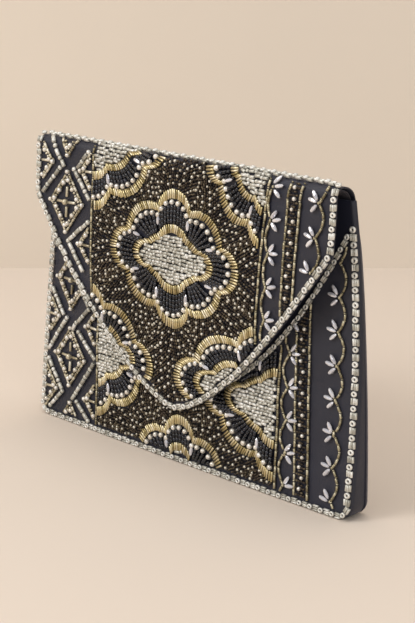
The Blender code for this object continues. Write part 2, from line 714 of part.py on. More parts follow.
def flap_beads(parent):
    inset = TRIM_INSET + TRIM_WIDTH + BEAD_GAP
    region = (flap_outline(inset, CREASE_Z - 2 * MM), flap_y, 2, FLAP_LEVELS)
    low, high = 0.0, 200.0 * MM
    clear = BEAD_GAP + RAIL_WIDTH / 2
    band = [
        (-FLAP_BAND + clear, low),
        (FLAP_BAND - clear, low),
        (FLAP_BAND - clear, high),
        (-FLAP_BAND + clear, high),
    ]
    centre = (0.0, 128.0 * MM)
    corners = {
        "upper_left": (-FLAP_BAND, 190.0 * MM),
        "upper_right": (FLAP_BAND, 190.0 * MM),
        "lower_left": (-FLAP_BAND, 57.0 * MM),
        "lower_right": (FLAP_BAND, 57.0 * MM),
    }
    holes = [medallion(place, -BEAD_GAP) for place in [centre, *corners.values()]]
    beadwork("flap_ground", [band], holes, region, "bronze_beads", GROUND_BEADS, parent)
    rings = (
        ("outer_ring", 0.0, RING, "gold_beads"),
        ("bugle_ring", RING, BUGLE_RING, "black_beads"),
        ("inner_ring", RING + BUGLE_RING, RING, "gold_beads"),
    )
    for name, start, width, finish in rings:
        gap = 0.0 if start == 0.0 else BEAD_GAP / 2
        outline = medallion(centre, start + gap)
        hole = medallion(centre, start + width - BEAD_GAP / 2)
        sheet(
            f"flap_medallion_{name}",
            outline,
            flap_y,
            -GAP - MOTIF_BEADS,
            MOTIF_BEADS,
            finish,
            parent,
            columns=2,
            levels=FLAP_LEVELS,
            hole=hole,
        )
    field = medallion(centre, 2 * RING + BUGLE_RING + BEAD_GAP / 2)
    beadwork("flap_medallion_field", [field], [], region, "silver_beads", MOTIF_BEADS, parent)
    for name, place in corners.items():
        shape = medallion(place)
        node = f"flap_medallion_{name}"
        beadwork(node, [shape, band], [], region, "gold_beads", MOTIF_BEADS, parent)
    for name, x in (("flap_rail_left", -FLAP_BAND), ("flap_rail_right", FLAP_BAND)):
        rail = bar(x, RAIL_WIDTH, low, high)
        beadwork(name, [rail], [], region, "gold_beads", MOTIF_BEADS, parent)
    braid = bar(96.5 * MM, 9.0 * MM, low, high)
    beadwork("flap_braid", [braid], [], region, "gold_beads", MOTIF_BEADS, parent)
    inner = vine(80.0 * MM, 105.0 * MM, 168.0 * MM, 1)
    outer = vine(118.5 * MM, 147.0 * MM, 169.0 * MM, -1)
    beadwork("flap_vine_inner", [inner], [], region, "crystal", MOTIF_BEADS, parent)
    beadwork("flap_vine_outer", [outer], [], region, "crystal", MOTIF_BEADS, parent)
    low_apex = LATTICE_APEX_Z + 2 * LATTICE_PITCH
    line = chevron((LATTICE_X + CHEVRON_APEX, low_apex), 1, 18 * MM, RAIL_WIDTH * 1.6)
    beadwork("flap_chevron_inner", [line], [], region, "silver_beads", MOTIF_BEADS, parent)
    place = (LATTICE_X, LATTICE_APEX_Z + 2.5 * LATTICE_PITCH)
    outline = diamond(place, DIAMOND_HALF)
    windows = lattice_windows(place)
    beadwork("flap_diamond", [outline], windows, region, "gold_beads", MOTIF_BEADS, parent)


# ---------------------------------------------------------------- assembly

clear_scene()
PARTS = new_collection("beaded_clutch")
CUTTERS = new_collection("cutters")
CUTTERS.hide_render = True

pouch_panels()
gusset()
base_board()
slip_pocket()
mouth_binding()
snap_socket()
front_trims()
front_beads()

rear_crease = add_empty("rear_crease", (0.0, BACK_Y + 0.2 * MM, CREASE_Z))
front_crease = add_empty("front_crease", (0.0, FLAP_TOP_Y - 0.2 * MM, CREASE_Z))
front_crease.parent = rear_crease
front_crease.matrix_parent_inverse = rear_crease.matrix_world.inverted()
bpy.context.view_layer.update()

fold(rear_crease)
flap_layers(front_crease)
snap_stud(front_crease)
flap_trims(front_crease)
flap_beads(front_crease)
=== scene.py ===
"""Beaded envelope clutch: satin shell, linings, snap, and beadwork laid bead by bead."""

import math

import bpy
import numpy as np
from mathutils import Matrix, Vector


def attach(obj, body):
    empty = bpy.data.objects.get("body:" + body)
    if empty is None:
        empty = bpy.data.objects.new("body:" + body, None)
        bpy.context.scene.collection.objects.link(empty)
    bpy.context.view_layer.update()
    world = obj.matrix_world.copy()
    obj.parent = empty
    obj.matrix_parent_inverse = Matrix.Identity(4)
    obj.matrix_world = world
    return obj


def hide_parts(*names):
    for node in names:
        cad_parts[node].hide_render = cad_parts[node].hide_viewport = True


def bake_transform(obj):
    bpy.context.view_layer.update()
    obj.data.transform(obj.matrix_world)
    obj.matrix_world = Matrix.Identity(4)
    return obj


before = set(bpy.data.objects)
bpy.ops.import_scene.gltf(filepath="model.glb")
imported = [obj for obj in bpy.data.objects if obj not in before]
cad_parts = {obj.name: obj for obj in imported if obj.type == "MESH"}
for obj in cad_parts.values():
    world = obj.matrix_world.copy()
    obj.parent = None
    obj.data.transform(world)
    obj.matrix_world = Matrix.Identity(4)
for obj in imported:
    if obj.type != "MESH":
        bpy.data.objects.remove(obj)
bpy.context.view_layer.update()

bl_info = {
    "name": "Beaded envelope clutch",
    "version": (1, 0, 0),
    "blender": (4, 5, 0),
    "location": "3D View > Sidebar > Clutch",
    "description": "Builds a beaded satin envelope clutch round its packed solids",
    "category": "Add Mesh",
}

# ---------------------------------------------------------------- shape, in millimetres

MM = 0.001
HALF_WIDTH = 137.5
SIDE_TAPER = 12.0
TAPER_POWER = 2.2
MOUTH_Z = 176.0
CORNER_RADIUS = 9.0
BACK_Y = 12.6
BASE_DEPTH = 16.5
MOUTH_DEPTH = 5.6
DEPTH_POWER = 1.8
FRONT_CROWN_BASE = 0.8
FRONT_CROWN = 5.4
CROWN_RISE_Z = 60.0
BACK_CROWN = 2.2
CREASE_Z = 172.0
FLAP_HALF = 127.0
FLAP_TOP_Y = -8.6
FLAP_TIP_Z = 35.0
FLAP_CORNER_Z = 150.0
FLAP_EDGE_POWER = 1.52
FLAP_HEIGHTS = (35.0, 50.0, 70.0, 95.0, 122.0, 150.0, 172.0)
FLAP_DEPTHS = (-9.8, -10.8, -10.8, -12.1, -12.1, -10.5, -8.6)
FOLD_RISE = 15.5
FOLD_LEAN = 5.0
WALL = 2.5
VEE_LOW_Z = 48.0
VEE_HIGH_Z = 163.5
PULL = 4.2
PULL_Z = 175.0
PULL_SPREAD = 12.0
# The radius the satin turns with, from the front to the side and from the side to the back.
SIDE_CORNER = 2.6
BACK_WRAP = 3.4
FLAP_SMOOTHING = 9.0

TRIM_INSET = 2.6
TRIM_CLEAR = 5.4
FRONT_BAND = (-80.0, 80.0)
FLAP_BAND_LEFT = -72.5
# The right line of the flap's middle band leans out towards the crest: heights and places across.
FLAP_LEAN = ((100.0, 172.0, 190.0), (71.5, 76.0, 78.5))
OUTER_LOBES = ((40.0, 13.0), (13.5, 30.0), (11.0, 7.6, 13.5))
INNER_LOBES = ((34.0, 17.0), (19.0, 28.0), (13.0, 0.6, 19.5))
MEDALLION_HALF = (53.5, 41.0)
RING = 6.2
INNER_RING = 5.6
# Each medallion: its middle across and up, half its width and height, the depth of its black
# fan, and how far its inner ring is pinched between the lobes.
FLAP_MEDALLIONS = (
    (2.4, 128.5, 56.0, 42.0, 14.8, 1.0),
    (-72.0, 194.0, 67.0, 47.0, 12.5, 0.3),
    (76.0, 193.0, 51.0, 48.0, 12.5, 0.2),
    (-75.0, 57.5, 59.0, 45.0, 10.0, 0.4),
    (76.0, 58.0, 74.0, 44.0, 11.0, 0.3),
)
FRONT_MEDALLIONS = (
    (-80.0, 57.0, 58.0, 46.0, 13.0, 0.4),
    (80.0, 52.0, 62.0, 44.0, 13.5, 0.8),
    (0.0, -12.5, 52.0, 43.0, 11.5, 0.5),
)
# Edge trim and chevron lines: where each bead sits along the pitch, as a share of it, the share
# a ring bead or a bar takes up, and how high each stands.
TRIM_RING_AT = -0.26
TRIM_BARS_AT = 0.25
TRIM_SHARE = 0.46
TRIM_RING_HIGH = 2.8
TRIM_BARS_HIGH = 1.9
CHEVRON_PEARL_AT = -0.32
CHEVRON_BAR_AT = 0.18
# Beads as length, width and height.
CHEVRON_PEARL = (3.0, 3.2, 2.8)
CHEVRON_BAR = (4.8, 2.7, 2.6)
MEDALLION_PEARL = (3.4, 3.4, 3.2)
LINK_SEED = (1.3, 1.6)
# The gold rings of a medallion: width, pitch and height of their bugles.
OUTER_BUGLE = (1.42, 1.8, 1.9)
INNER_BUGLE = (1.4, 1.75, 1.9)
FAN_START = RING + 3.4
FAN_PITCH = 2.85
FAN_CUT = 2.7
CORE_ROW = 2.05
BEAD_GAP = 0.15
GROUND_ROWS = 60
# Each leaf of a spray: its turn in degrees and its length.
LEAVES = ((54, 8.4), (10, 8.8), (-44, 8.2))
LEAF_WIDE = 3.0
LEAF_HIGH = 2.6
STEM_SEED = 1.9
# Each vine: its foot across, its lean, its bow, its first cusp, the pitch and number of its cusps,
# and the side its leaves are on.
VINES = {
    "flap": ((75.3, 0.03, 2.8, 12.0, 18.9, 10, 1), (101.4, 0.08, 4.2, 2.4, 19.5, 11, -1)),
    "front": ((86.8, 0.0, 4.2, 8.5, 19.4, 9, 1), (123.2, -0.03, 4.2, 8.4, 19.3, 9, -1)),
}
BRAID_PEARL = 2.4
BRAID_LANES = (-1.5, -0.5, 0.5, 1.5)
# The left band: its outer edge, its whole and half diamonds, and its chevron lines.
DIAMOND_HALF = (15.5, 19.0)
HALF_DIAMOND_HALF = (12.0, 14.5)
LATTICES = {
    "flap": (
        ((-97.0, 197.0), (-97.0, 148.5), (-100.0, 99.0)),
        ((FLAP_BAND_LEFT, 170.0), (FLAP_BAND_LEFT, 124.0), (-124.0, 172.0), (-124.0, 121.0)),
        (
            ((-116.0, 190.0), (-101.5, 172.0), (-121.0, 152.0)),
            ((-70.0, 189.0), (-89.5, 169.0), (-74.5, 152.5)),
            ((-74.5, 139.5), (-94.0, 124.5), (-80.0, 107.0)),
        ),
    ),
    "front": (
        ((-109.0, 94.0), (-108.5, 43.5), (-107.0, -6.0)),
        ((FRONT_BAND[0], 67.0), (FRONT_BAND[0], 19.0), (-133.5, 68.0), (-133.5, 19.5)),
        (
            ((-132.0, 117.0), (-118.0, 111.0), (-116.0, 111.0)),
            ((-118.0, 111.0), (-89.0, 79.0), (-104.0, 65.0), (-81.0, 47.0)),
            ((-81.0, 47.0), (-103.0, 18.0), (-82.5, 1.0)),
            ((-132.0, 88.0), (-114.0, 67.0), (-132.0, 44.0)),
            ((-132.0, 39.0), (-115.0, 19.0), (-132.0, 2.0)),
        ),
    ),
}

# A run of beads in a medallion's middle: each bead's kind, length, width and step.
CORE_RUN = (("bugle", 3.9, 1.95, 4.0), ("bugle", 3.9, 1.95, 4.0), ("pearl", 2.3, 2.3, 2.3))

# The camera's direction in degrees, its distance and its target in metres, and its lens.
CAMERA_TURN = 46.49
CAMERA_RISE = 14.81
CAMERA_REACH = 1.0075
CAMERA_TARGET = (0.01607, 0.00255, 0.0968)
CAMERA_LENS = 98.23
WALL_BEHIND = 0.51
# Each light: its name, place, size, power and colour.
LIGHTS = (
    ("key", (-0.55, -1.5, 1.35), 0.9, 17.0, (1.0, 0.985, 0.97)),
    ("fill", (1.6, -0.9, 0.9), 1.1, 7.0, (1.0, 0.98, 0.96)),
    ("top", (0.1, 0.1, 1.9), 1.2, 8.0, (1.0, 0.99, 0.98)),
)


def half_width(z):
    return HALF_WIDTH - SIDE_TAPER * (np.maximum(z, 0.0) / MOUTH_Z) ** TAPER_POWER


def outline_half(z):
    """Half the width of the pouch at z, with the base corners rounded off."""
    low = np.clip(CORNER_RADIUS - np.asarray(z, float), 0.0, CORNER_RADIUS)
    return half_width(z) - CORNER_RADIUS + np.sqrt(CORNER_RADIUS**2 - low**2)


def corner_pull(z):
    """How far the rear corners are drawn in where the back turns into the fold."""
    return PULL * np.exp(-(((np.asarray(z, float) - PULL_Z) / PULL_SPREAD) ** 2))


def crown(x, z):
    return np.maximum(0.0, 1.0 - (x / half_width(z)) ** 2)


def side_depth(z):
    up = np.clip(z / MOUTH_Z, 0.0, 1.0)
    return MOUTH_DEPTH + (BASE_DEPTH - MOUTH_DEPTH) * (1.0 - up) ** DEPTH_POWER


def front_y(x, z):
    rise = FRONT_CROWN_BASE + (FRONT_CROWN - FRONT_CROWN_BASE) * np.minimum(z / CROWN_RISE_Z, 1.0)
    return BACK_Y - side_depth(z) - rise * crown(x, z)


def back_y(x, z):
    up = np.clip(z / CREASE_Z, 0.0, 1.0)
    return BACK_Y + BACK_CROWN * crown(x, z) * np.sin(math.pi * up)


def flap_edge_z(x):
    reach = np.minimum(np.abs(x) / FLAP_HALF, 1.0)
    return FLAP_TIP_Z + (FLAP_CORNER_Z - FLAP_TIP_Z) * reach**FLAP_EDGE_POWER


def vee_z(x):
    return VEE_LOW_Z + (VEE_HIGH_Z - VEE_LOW_Z) * (x / half_width(VEE_HIGH_Z)) ** 2


def fold_section(turn):
    """A point of the fold's section: turn 0 is the rear crease and 1 the front crease."""
    centre = (BACK_Y + FLAP_TOP_Y) / 2
    half = (BACK_Y - FLAP_TOP_Y) / 2
    angle = math.pi * np.asarray(turn, float)
    rise = np.sin(np.clip(angle, 0.0, math.pi))
    lift = FOLD_RISE * np.abs(rise) ** 0.85
    return centre + half * np.cos(angle) - FOLD_LEAN * rise**2, CREASE_Z + lift


def _profile(low_y, low_z, turns):
    """A panel's section continued up its side of the fold: y and z against the length along it."""
    fold_y, fold_z = fold_section(turns)
    ys, zs = np.append(low_y, fold_y), np.append(low_z, fold_z)
    length = np.append(0.0, np.cumsum(np.hypot(np.diff(ys), np.diff(zs))))
    return length - length[len(low_z)] + CREASE_Z, ys, zs


_flap_z = np.linspace(0.0, CREASE_Z - 1.0, 60)
_flap_near = _flap_z[:, None] + np.linspace(-FLAP_SMOOTHING, FLAP_SMOOTHING, 9)
_flap_smooth = np.interp(_flap_near, FLAP_HEIGHTS, FLAP_DEPTHS).mean(axis=1)
FLAP_LINE = _profile(_flap_smooth, _flap_z, np.linspace(1.0, 0.5, 40))
BACK_LINE = _profile(np.full(60, BACK_Y), _flap_z, np.linspace(0.0, 0.5, 40))
FLAP_CREST = float(FLAP_LINE[0][-1])
BACK_CREST = float(BACK_LINE[0][-1])
# The two rails of the braid: heights, and the places across of the inner and the outer rail there.
RAILS = {
    "flap": ((90.0, FLAP_CREST - 10.0, FLAP_CREST), (90.5, 92.3, 96.0), (98.5, 101.5, 105.0)),
    "front": ((4.0, 104.0), (95.5, 90.5), (105.5, 100.0)),
}


def flap_point(u, v):
    along, y, z = FLAP_LINE
    return np.stack([u, np.interp(v, along, y), np.interp(v, along, z)], -1)


def front_point(u, v):
    return np.stack([u, front_y(u, v), v], -1)


def back_point(u, v):
    along, y, z = BACK_LINE
    bulge = np.where(v > CREASE_Z, 0.0, back_y(u, v) - BACK_Y)
    return np.stack([-u, np.interp(v, along, y) + bulge, np.interp(v, along, z)], -1)


CHARTS = {"flap": flap_point, "front": front_point, "back": back_point}


def frame_at(chart, u, v):
    """Place, across, up and outward directions of a panel at u across and v up."""
    point = CHARTS[chart]
    u, v = np.asarray(u, float), np.asarray(v, float)
    step = 0.6
    across = point(u + step, v) - point(u - step, v)
    up = point(u, v + step) - point(u, v - step)
    across /= np.linalg.norm(across, axis=-1, keepdims=True)
    up /= np.linalg.norm(up, axis=-1, keepdims=True)
    out = np.cross(across, up)
    return point(u, v), across, up, out / np.linalg.norm(out, axis=-1, keepdims=True)


# ---------------------------------------------------------------- materials


class Nodes:
    """Short calls for adding and joining shader nodes in one tree."""

    def __init__(self, tree):
        self.tree = tree

    def add(self, kind, values=None, **settings):
        node = self.tree.nodes.new(kind)
        for key, value in settings.items():
            setattr(node, key, value)
        for key, value in (values or {}).items():
            self.put(node.inputs[key], value)
        return node

    def put(self, socket, value):
        if isinstance(value, bpy.types.NodeSocket):
            self.tree.links.new(value, socket)
        elif isinstance(value, bpy.types.Node):
            self.tree.links.new(value.outputs[0], socket)
        else:
            socket.default_value = value

    def noise(self, place, scale, detail):
        values = {"Vector": place, "Scale": scale, "Detail": detail}
        return self.add("ShaderNodeTexNoise", values).outputs[0]

    def bump(self, strength, distance, height):
        values = {"Strength": strength, "Distance": distance, "Height": height}
        return self.add("ShaderNodeBump", values)

    def maths(self, operation, a, b=0.0, c=0.0):
        node = self.add("ShaderNodeMath", operation=operation)
        for socket, value in zip(node.inputs, (a, b, c)):
            self.put(socket, value)
        return node.outputs[0]

    def mix(self, factor, a, b, kind="MIX"):
        node = self.add("ShaderNodeMix", data_type="RGBA", blend_type=kind)
        self.put(node.inputs[0], factor)
        self.put(node.inputs[6], a)
        self.put(node.inputs[7], b)
        return node.outputs[2]

    def ramp(self, value, low, high, to_low=0.0, to_high=1.0):
        names = {"From Min": low, "From Max": high, "To Min": to_low, "To Max": to_high}
        return self.add("ShaderNodeMapRange", {"Value": value, **names}).outputs[0]


def rgba(colour):
    return (*colour[:3], 1.0)


def new_group(name, inputs, outputs):
    tree = bpy.data.node_groups.new(name, "ShaderNodeTree")
    for label, kind, value in inputs:
        socket = tree.interface.new_socket(label, in_out="INPUT", socket_type=kind)
        socket.default_value = value
    for label, kind in outputs:
        tree.interface.new_socket(label, in_out="OUTPUT", socket_type=kind)
    return tree, Nodes(tree), tree.nodes.new("NodeGroupInput"), tree.nodes.new("NodeGroupOutput")


def bead_group():
    """Colour and roughness that change from bead to bead, with small patches pulled toward the dark
    tone: tarnish on metal beads, and painted glints on the crystal, whose dark tone is white.
    """
    colour = "NodeSocketColor"
    inputs = [
        ("Main", colour, (0.5, 0.5, 0.5, 1.0)),
        ("Dark", colour, (0.2, 0.2, 0.2, 1.0)),
        ("Light", colour, (0.8, 0.8, 0.8, 1.0)),
        ("Roughness", "NodeSocketFloat", 0.3),
        ("Spread", "NodeSocketFloat", 0.1),
    ]
    outputs = [("Colour", colour), ("Roughness", "NodeSocketFloat"), ("Height", "NodeSocketFloat")]
    tree, n, start, end = new_group("bead_to_bead", inputs, outputs)
    tone = n.add("ShaderNodeAttribute", attribute_name="tone").outputs["Fac"]
    place = n.add("ShaderNodeTexCoord").outputs["Object"]
    patches = n.noise(place, 900.0, 2.0)
    drift = n.noise(place, 38.0, 1.0)
    darker = n.ramp(tone, 0.42, 0.0)
    lighter = n.ramp(tone, 0.55, 1.0)
    shade = n.mix(darker, start.outputs["Main"], start.outputs["Dark"])
    shade = n.mix(lighter, shade, start.outputs["Light"])
    # Small patches toward the dark tone: tarnish on metal beads; on the crystal, whose dark tone is
    # white, painted glints.
    worn = n.maths("MULTIPLY", n.ramp(patches, 0.5, 0.72), 0.35)
    shade = n.mix(worn, shade, start.outputs["Dark"])
    drifted = n.ramp(drift, 0.5, 0.75, 0.0, 0.25)
    n.put(end.inputs["Colour"], n.mix(drifted, shade, start.outputs["Dark"]))
    spread = n.maths("MULTIPLY", n.maths("SUBTRACT", patches, 0.5), start.outputs["Spread"])
    rough = n.maths("ADD", start.outputs["Roughness"], spread)
    n.put(end.inputs["Roughness"], n.maths("MULTIPLY_ADD", tone, start.outputs["Spread"], rough))
    n.put(end.inputs["Height"], patches)
    return tree


def weave_group():
    """Fine diagonal weave with slubs, soft puckers, and a mask of raised threads that carry a painted
    sheen.
    """
    inputs = [
        ("Threads", "NodeSocketFloat", 2600.0),
        ("Pucker", "NodeSocketFloat", 90.0),
        ("Dark", "NodeSocketColor", (0.02, 0.02, 0.02, 1.0)),
        ("Light", "NodeSocketColor", (0.05, 0.05, 0.05, 1.0)),
    ]
    value = "NodeSocketFloat"
    outputs = [("Colour", "NodeSocketColor"), ("Height", value), ("Thread", value)]
    tree, n, start, end = new_group("woven_cloth", inputs, outputs)
    place = n.add("ShaderNodeTexCoord").outputs["Object"]
    part = n.add("ShaderNodeSeparateXYZ", {"Vector": place})
    depth = n.maths("MULTIPLY", part.outputs["Y"], 0.7)
    diagonal = n.maths("ADD", n.maths("ADD", part.outputs["X"], part.outputs["Z"]), depth)
    across = n.maths("SUBTRACT", part.outputs["Z"], part.outputs["X"])
    warp = n.maths("SINE", n.maths("MULTIPLY", diagonal, start.outputs["Threads"]))
    finer = n.maths("MULTIPLY", start.outputs["Threads"], 2.6)
    weft = n.maths("SINE", n.maths("MULTIPLY", across, finer))
    slub = n.noise(place, 420.0, 3.0)
    thread = n.maths("MULTIPLY_ADD", weft, 0.3, n.maths("MULTIPLY", warp, 0.7))
    thread = n.maths("MULTIPLY_ADD", slub, 0.8, thread)
    soft = n.noise(place, start.outputs["Pucker"], 2.0)
    wide = n.noise(place, 14.0, 2.0)
    # The colour runs from the shaded to the lit thread colour: painted sheen on the raised threads, and
    # broad random mottle between the two.
    mottle_and_painted_sheen = n.maths("MULTIPLY_ADD", n.ramp(wide, 0.3, 0.7), 0.45, n.ramp(thread, -0.6, 1.5, 0.0, 0.55))
    n.put(end.inputs["Colour"], n.mix(mottle_and_painted_sheen, start.outputs["Dark"], start.outputs["Light"]))
    n.put(end.inputs["Height"], n.maths("MULTIPLY_ADD", soft, 14.0, n.maths("MULTIPLY", thread, 0.5)))
    n.put(end.inputs["Thread"], n.ramp(thread, -0.6, 1.5))
    return tree


BEAD_SPREAD = 0.12


def new_material(name):
    made = bpy.data.materials.new(name)
    made.use_nodes = True
    n = Nodes(made.node_tree)
    return made, n, made.node_tree.nodes["Principled BSDF"]


def bead_material(name, group, colours, roughness, metallic, coat=0.0, bump=0.03, rim=0.55):
    """Glass or metal-lined beads: colours are the main, the dark and the light tone; the dark tone is
    also painted onto each bead's rim as painted shade.
    """
    main, dark, light = colours
    made, n, shader = new_material(name)
    tones = n.add("ShaderNodeGroup", node_tree=group)
    values = {"Main": rgba(main), "Dark": rgba(dark), "Light": rgba(light)}
    for key, value in {**values, "Roughness": roughness, "Spread": BEAD_SPREAD}.items():
        tones.inputs[key].default_value = value
    # Painted shade: toward the rim, where the bead turns away from view, the colour is mixed toward the
    # dark tone by rim; where the dark tone is white, as on the crystal, this is a painted highlight.
    edge = n.add("ShaderNodeLayerWeight", {"Blend": 0.35}).outputs["Facing"]
    painted_rim_colour = n.mix(n.maths("MULTIPLY", edge, rim), tones.outputs["Colour"], rgba(dark))
    n.put(shader.inputs["Base Color"], painted_rim_colour)
    n.put(shader.inputs["Roughness"], tones.outputs["Roughness"])
    shader.inputs["Metallic"].default_value = metallic
    shader.inputs["Coat Weight"].default_value = coat
    shader.inputs["Coat Roughness"].default_value = 0.08
    dents = n.bump(bump, 0.0002, tones.outputs["Height"])
    n.put(shader.inputs["Normal"], dents)
    return made


def cloth_material(name, group, dark, light, roughness, sheen, threads, pucker, depth):
    """Woven cloth: threads and puckers per metre, and the depth of its bump."""
    made, n, shader = new_material(name)
    cloth = n.add("ShaderNodeGroup", node_tree=group)
    values = {"Threads": threads, "Pucker": pucker, "Dark": rgba(dark), "Light": rgba(light)}
    for key, value in values.items():
        cloth.inputs[key].default_value = value
    # Painted sheen: the woven colour mixes the shaded thread colour toward the lit one along the raised
    # threads.
    n.put(shader.inputs["Base Color"], cloth.outputs["Colour"])
    rough, smooth = roughness + 0.1, roughness - 0.06
    n.put(shader.inputs["Roughness"], n.ramp(cloth.outputs["Thread"], 0.0, 1.0, rough, smooth))
    shader.inputs["Sheen Weight"].default_value = sheen
    shader.inputs["Sheen Roughness"].default_value = 0.4
    shader.inputs["Sheen Tint"].default_value = (0.62, 0.64, 0.86, 1.0)
    bump = n.bump(0.5, depth, cloth.outputs["Height"])
    n.put(shader.inputs["Normal"], bump)
    return made


def board_material(name, dark, light):
    made, n, shader = new_material(name)
    place = n.add("ShaderNodeTexCoord").outputs["Object"]
    fibres = n.noise(place, 700.0, 6.0)
    n.put(shader.inputs["Base Color"], n.mix(n.ramp(fibres, 0.35, 0.65), rgba(dark), rgba(light)))
    n.put(shader.inputs["Roughness"], n.ramp(fibres, 0.3, 0.7, 0.8, 0.95))
    bump = n.bump(0.3, 0.0001, fibres)
    n.put(shader.inputs["Normal"], bump)
    return made


def snap_material(name, colour, worn):
    made, n, shader = new_material(name)
    place = n.add("ShaderNodeTexCoord").outputs["Object"]
    brushed = n.noise(place, 500.0, 4.0)
    n.put(shader.inputs["Base Color"], n.mix(n.ramp(brushed, 0.45, 0.7), rgba(colour), rgba(worn)))
    n.put(shader.inputs["Roughness"], n.ramp(brushed, 0.3, 0.7, 0.2, 0.4))
    shader.inputs["Metallic"].default_value = 1.0
    bump = n.bump(0.15, 0.0001, brushed)
    n.put(shader.inputs["Normal"], bump)
    return made


def stage_material(name, colour, one_sided=False):
    made, n, shader = new_material(name)
    place = n.add("ShaderNodeTexCoord").outputs["Object"]
    mottle = n.noise(place, 3.0, 3.0)
    paler = tuple(min(1.0, c * 1.03) for c in colour)
    n.put(shader.inputs["Base Color"], n.mix(n.ramp(mottle, 0.3, 0.7), rgba(colour), rgba(paler)))
    shader.inputs["Roughness"].default_value = 0.85
    shader.inputs["Specular IOR Level"].default_value = 0.15
    if one_sided:
        clear = n.add("ShaderNodeBsdfTransparent")
        behind = n.add("ShaderNodeNewGeometry").outputs["Backfacing"]
        both = n.add("ShaderNodeMixShader", {0: behind, 1: shader.outputs[0], 2: clear.outputs[0]})
        n.put(made.node_tree.nodes["Material Output"].inputs["Surface"], both.outputs[0])
    return made


def finish(name):
    """The material of that name, made with the colours of the add-on's settings the first time."""
    made = bpy.data.materials.get("clutch_" + name)
    if made is not None:
        return made
    colours = bpy.context.scene.clutch_colours
    beads = bpy.data.node_groups.get("bead_to_bead") or bead_group()
    cloth = bpy.data.node_groups.get("woven_cloth") or weave_group()
    label = "clutch_" + name
    if name == "satin":
        dark, light = colours.satin_dark, colours.satin
        return cloth_material(label, cloth, dark, light, 0.42, 0.14, 9000.0, 60.0, 0.00012)
    if name == "lining":
        dark, light = colours.lining_dark, colours.lining
        return cloth_material(label, cloth, dark, light, 0.62, 0.1, 7000.0, 40.0, 0.00008)
    if name == "board":
        return board_material(label, (0.33, 0.27, 0.2), (0.47, 0.4, 0.31))
    if name == "snap":
        return snap_material(label, colours.snap, (0.42, 0.35, 0.22))
    if name == "gold":
        tones = (colours.gold, (0.3, 0.24, 0.11), (0.92, 0.84, 0.64))
        return bead_material(label, beads, tones, 0.27, 0.85, rim=0.95)
    if name == "old_gold":
        tones = (colours.old_gold, (0.2, 0.17, 0.1), (0.74, 0.68, 0.5))
        return bead_material(label, beads, tones, 0.32, 0.7)
    if name == "champagne":
        tones = (colours.champagne, (0.26, 0.22, 0.14), (0.9, 0.85, 0.72))
        return bead_material(label, beads, tones, 0.3, 0.6)
    if name == "silver":
        tones = (colours.silver, (0.33, 0.32, 0.28), (0.95, 0.94, 0.9))
        return bead_material(label, beads, tones, 0.34, 0.45)
    if name == "pearl":
        tones = (colours.pearl, (0.4, 0.37, 0.32), (0.95, 0.93, 0.88))
        return bead_material(label, beads, tones, 0.18, 0.4, coat=0.4)
    if name == "dim_pearl":
        tones = (colours.dim_pearl, (0.22, 0.19, 0.14), (0.88, 0.85, 0.76))
        return bead_material(label, beads, tones, 0.22, 0.5)
    if name == "black":
        tones = (colours.black, (0.003, 0.003, 0.005), (0.02, 0.022, 0.034))
        return bead_material(label, beads, tones, 0.14, 0.0, coat=0.15)
    if name == "bronze":
        tones = (colours.bronze, (0.014, 0.011, 0.009), (0.17, 0.135, 0.085))
        return bead_material(label, beads, tones, 0.34, 0.6)
    if name == "crystal":  # its rim gets a painted highlight, so its dark tone is white; its small patches become painted white glints
        tones = (colours.crystal, (1.0, 1.0, 1.0), (0.46, 0.46, 0.53))
        return bead_material(label, beads, tones, 0.1, 0.5, coat=0.5, bump=0.0, rim=0.9)
    raise ValueError(f"no finish is called {name}")


# ---------------------------------------------------------------- modelling helpers


def deselect():
    if bpy.context.object and bpy.context.object.mode != "OBJECT":
        bpy.ops.object.mode_set(mode="OBJECT")
    bpy.ops.object.select_all(action="DESELECT")


def select_faces(obj, test):
    """Goes into face mode with only the faces selected whose centre passes the test."""
    bpy.ops.object.mode_set(mode="OBJECT")
    mesh = obj.data
    for item in (*mesh.vertices, *mesh.edges):
        item.select = False
    for face in mesh.polygons:
        face.select = bool(test(face.center))
    bpy.ops.object.mode_set(mode="EDIT")
    bpy.context.tool_settings.mesh_select_mode = (False, False, True)


def taken(obj, flat=False):
    """The finished bead's points and faces; the object itself is removed."""
    bpy.ops.object.mode_set(mode="OBJECT")
    deselect()
    obj.select_set(True)
    bpy.context.view_layer.objects.active = obj
    bpy.ops.object.transform_apply(location=True, rotation=True, scale=True)
    points = np.array([v.co for v in obj.data.vertices], float)
    faces = [tuple(p.vertices) for p in obj.data.polygons]
    bpy.data.objects.remove(obj)
    return {"points": points, "faces": faces, "flat": flat}


ALONG_X = (0.0, math.pi / 2, 0.0)


def applied():
    """The primitive just added, with its turn applied."""
    bpy.ops.object.transform_apply(location=True, rotation=True, scale=True)
    return bpy.context.object


def model_bugle():
    """A glass tube of length 1 and width 1 along X, with eased rims and sunken ends."""
    deselect()
    bpy.ops.mesh.primitive_cylinder_add(vertices=8, radius=0.5, depth=0.94, rotation=ALONG_X)
    obj = applied()
    for side in (-1, 1):
        select_faces(obj, lambda c, s=side: c.x * s > 0.4)
        move = {"value": (0.03 * side, 0.0, 0.0)}
        bpy.ops.mesh.extrude_region_move(TRANSFORM_OT_translate=move)
        bpy.ops.transform.resize(value=(1.0, 0.76, 0.76))
        bpy.ops.mesh.inset(thickness=0.14, depth=-0.02)
    return taken(obj)


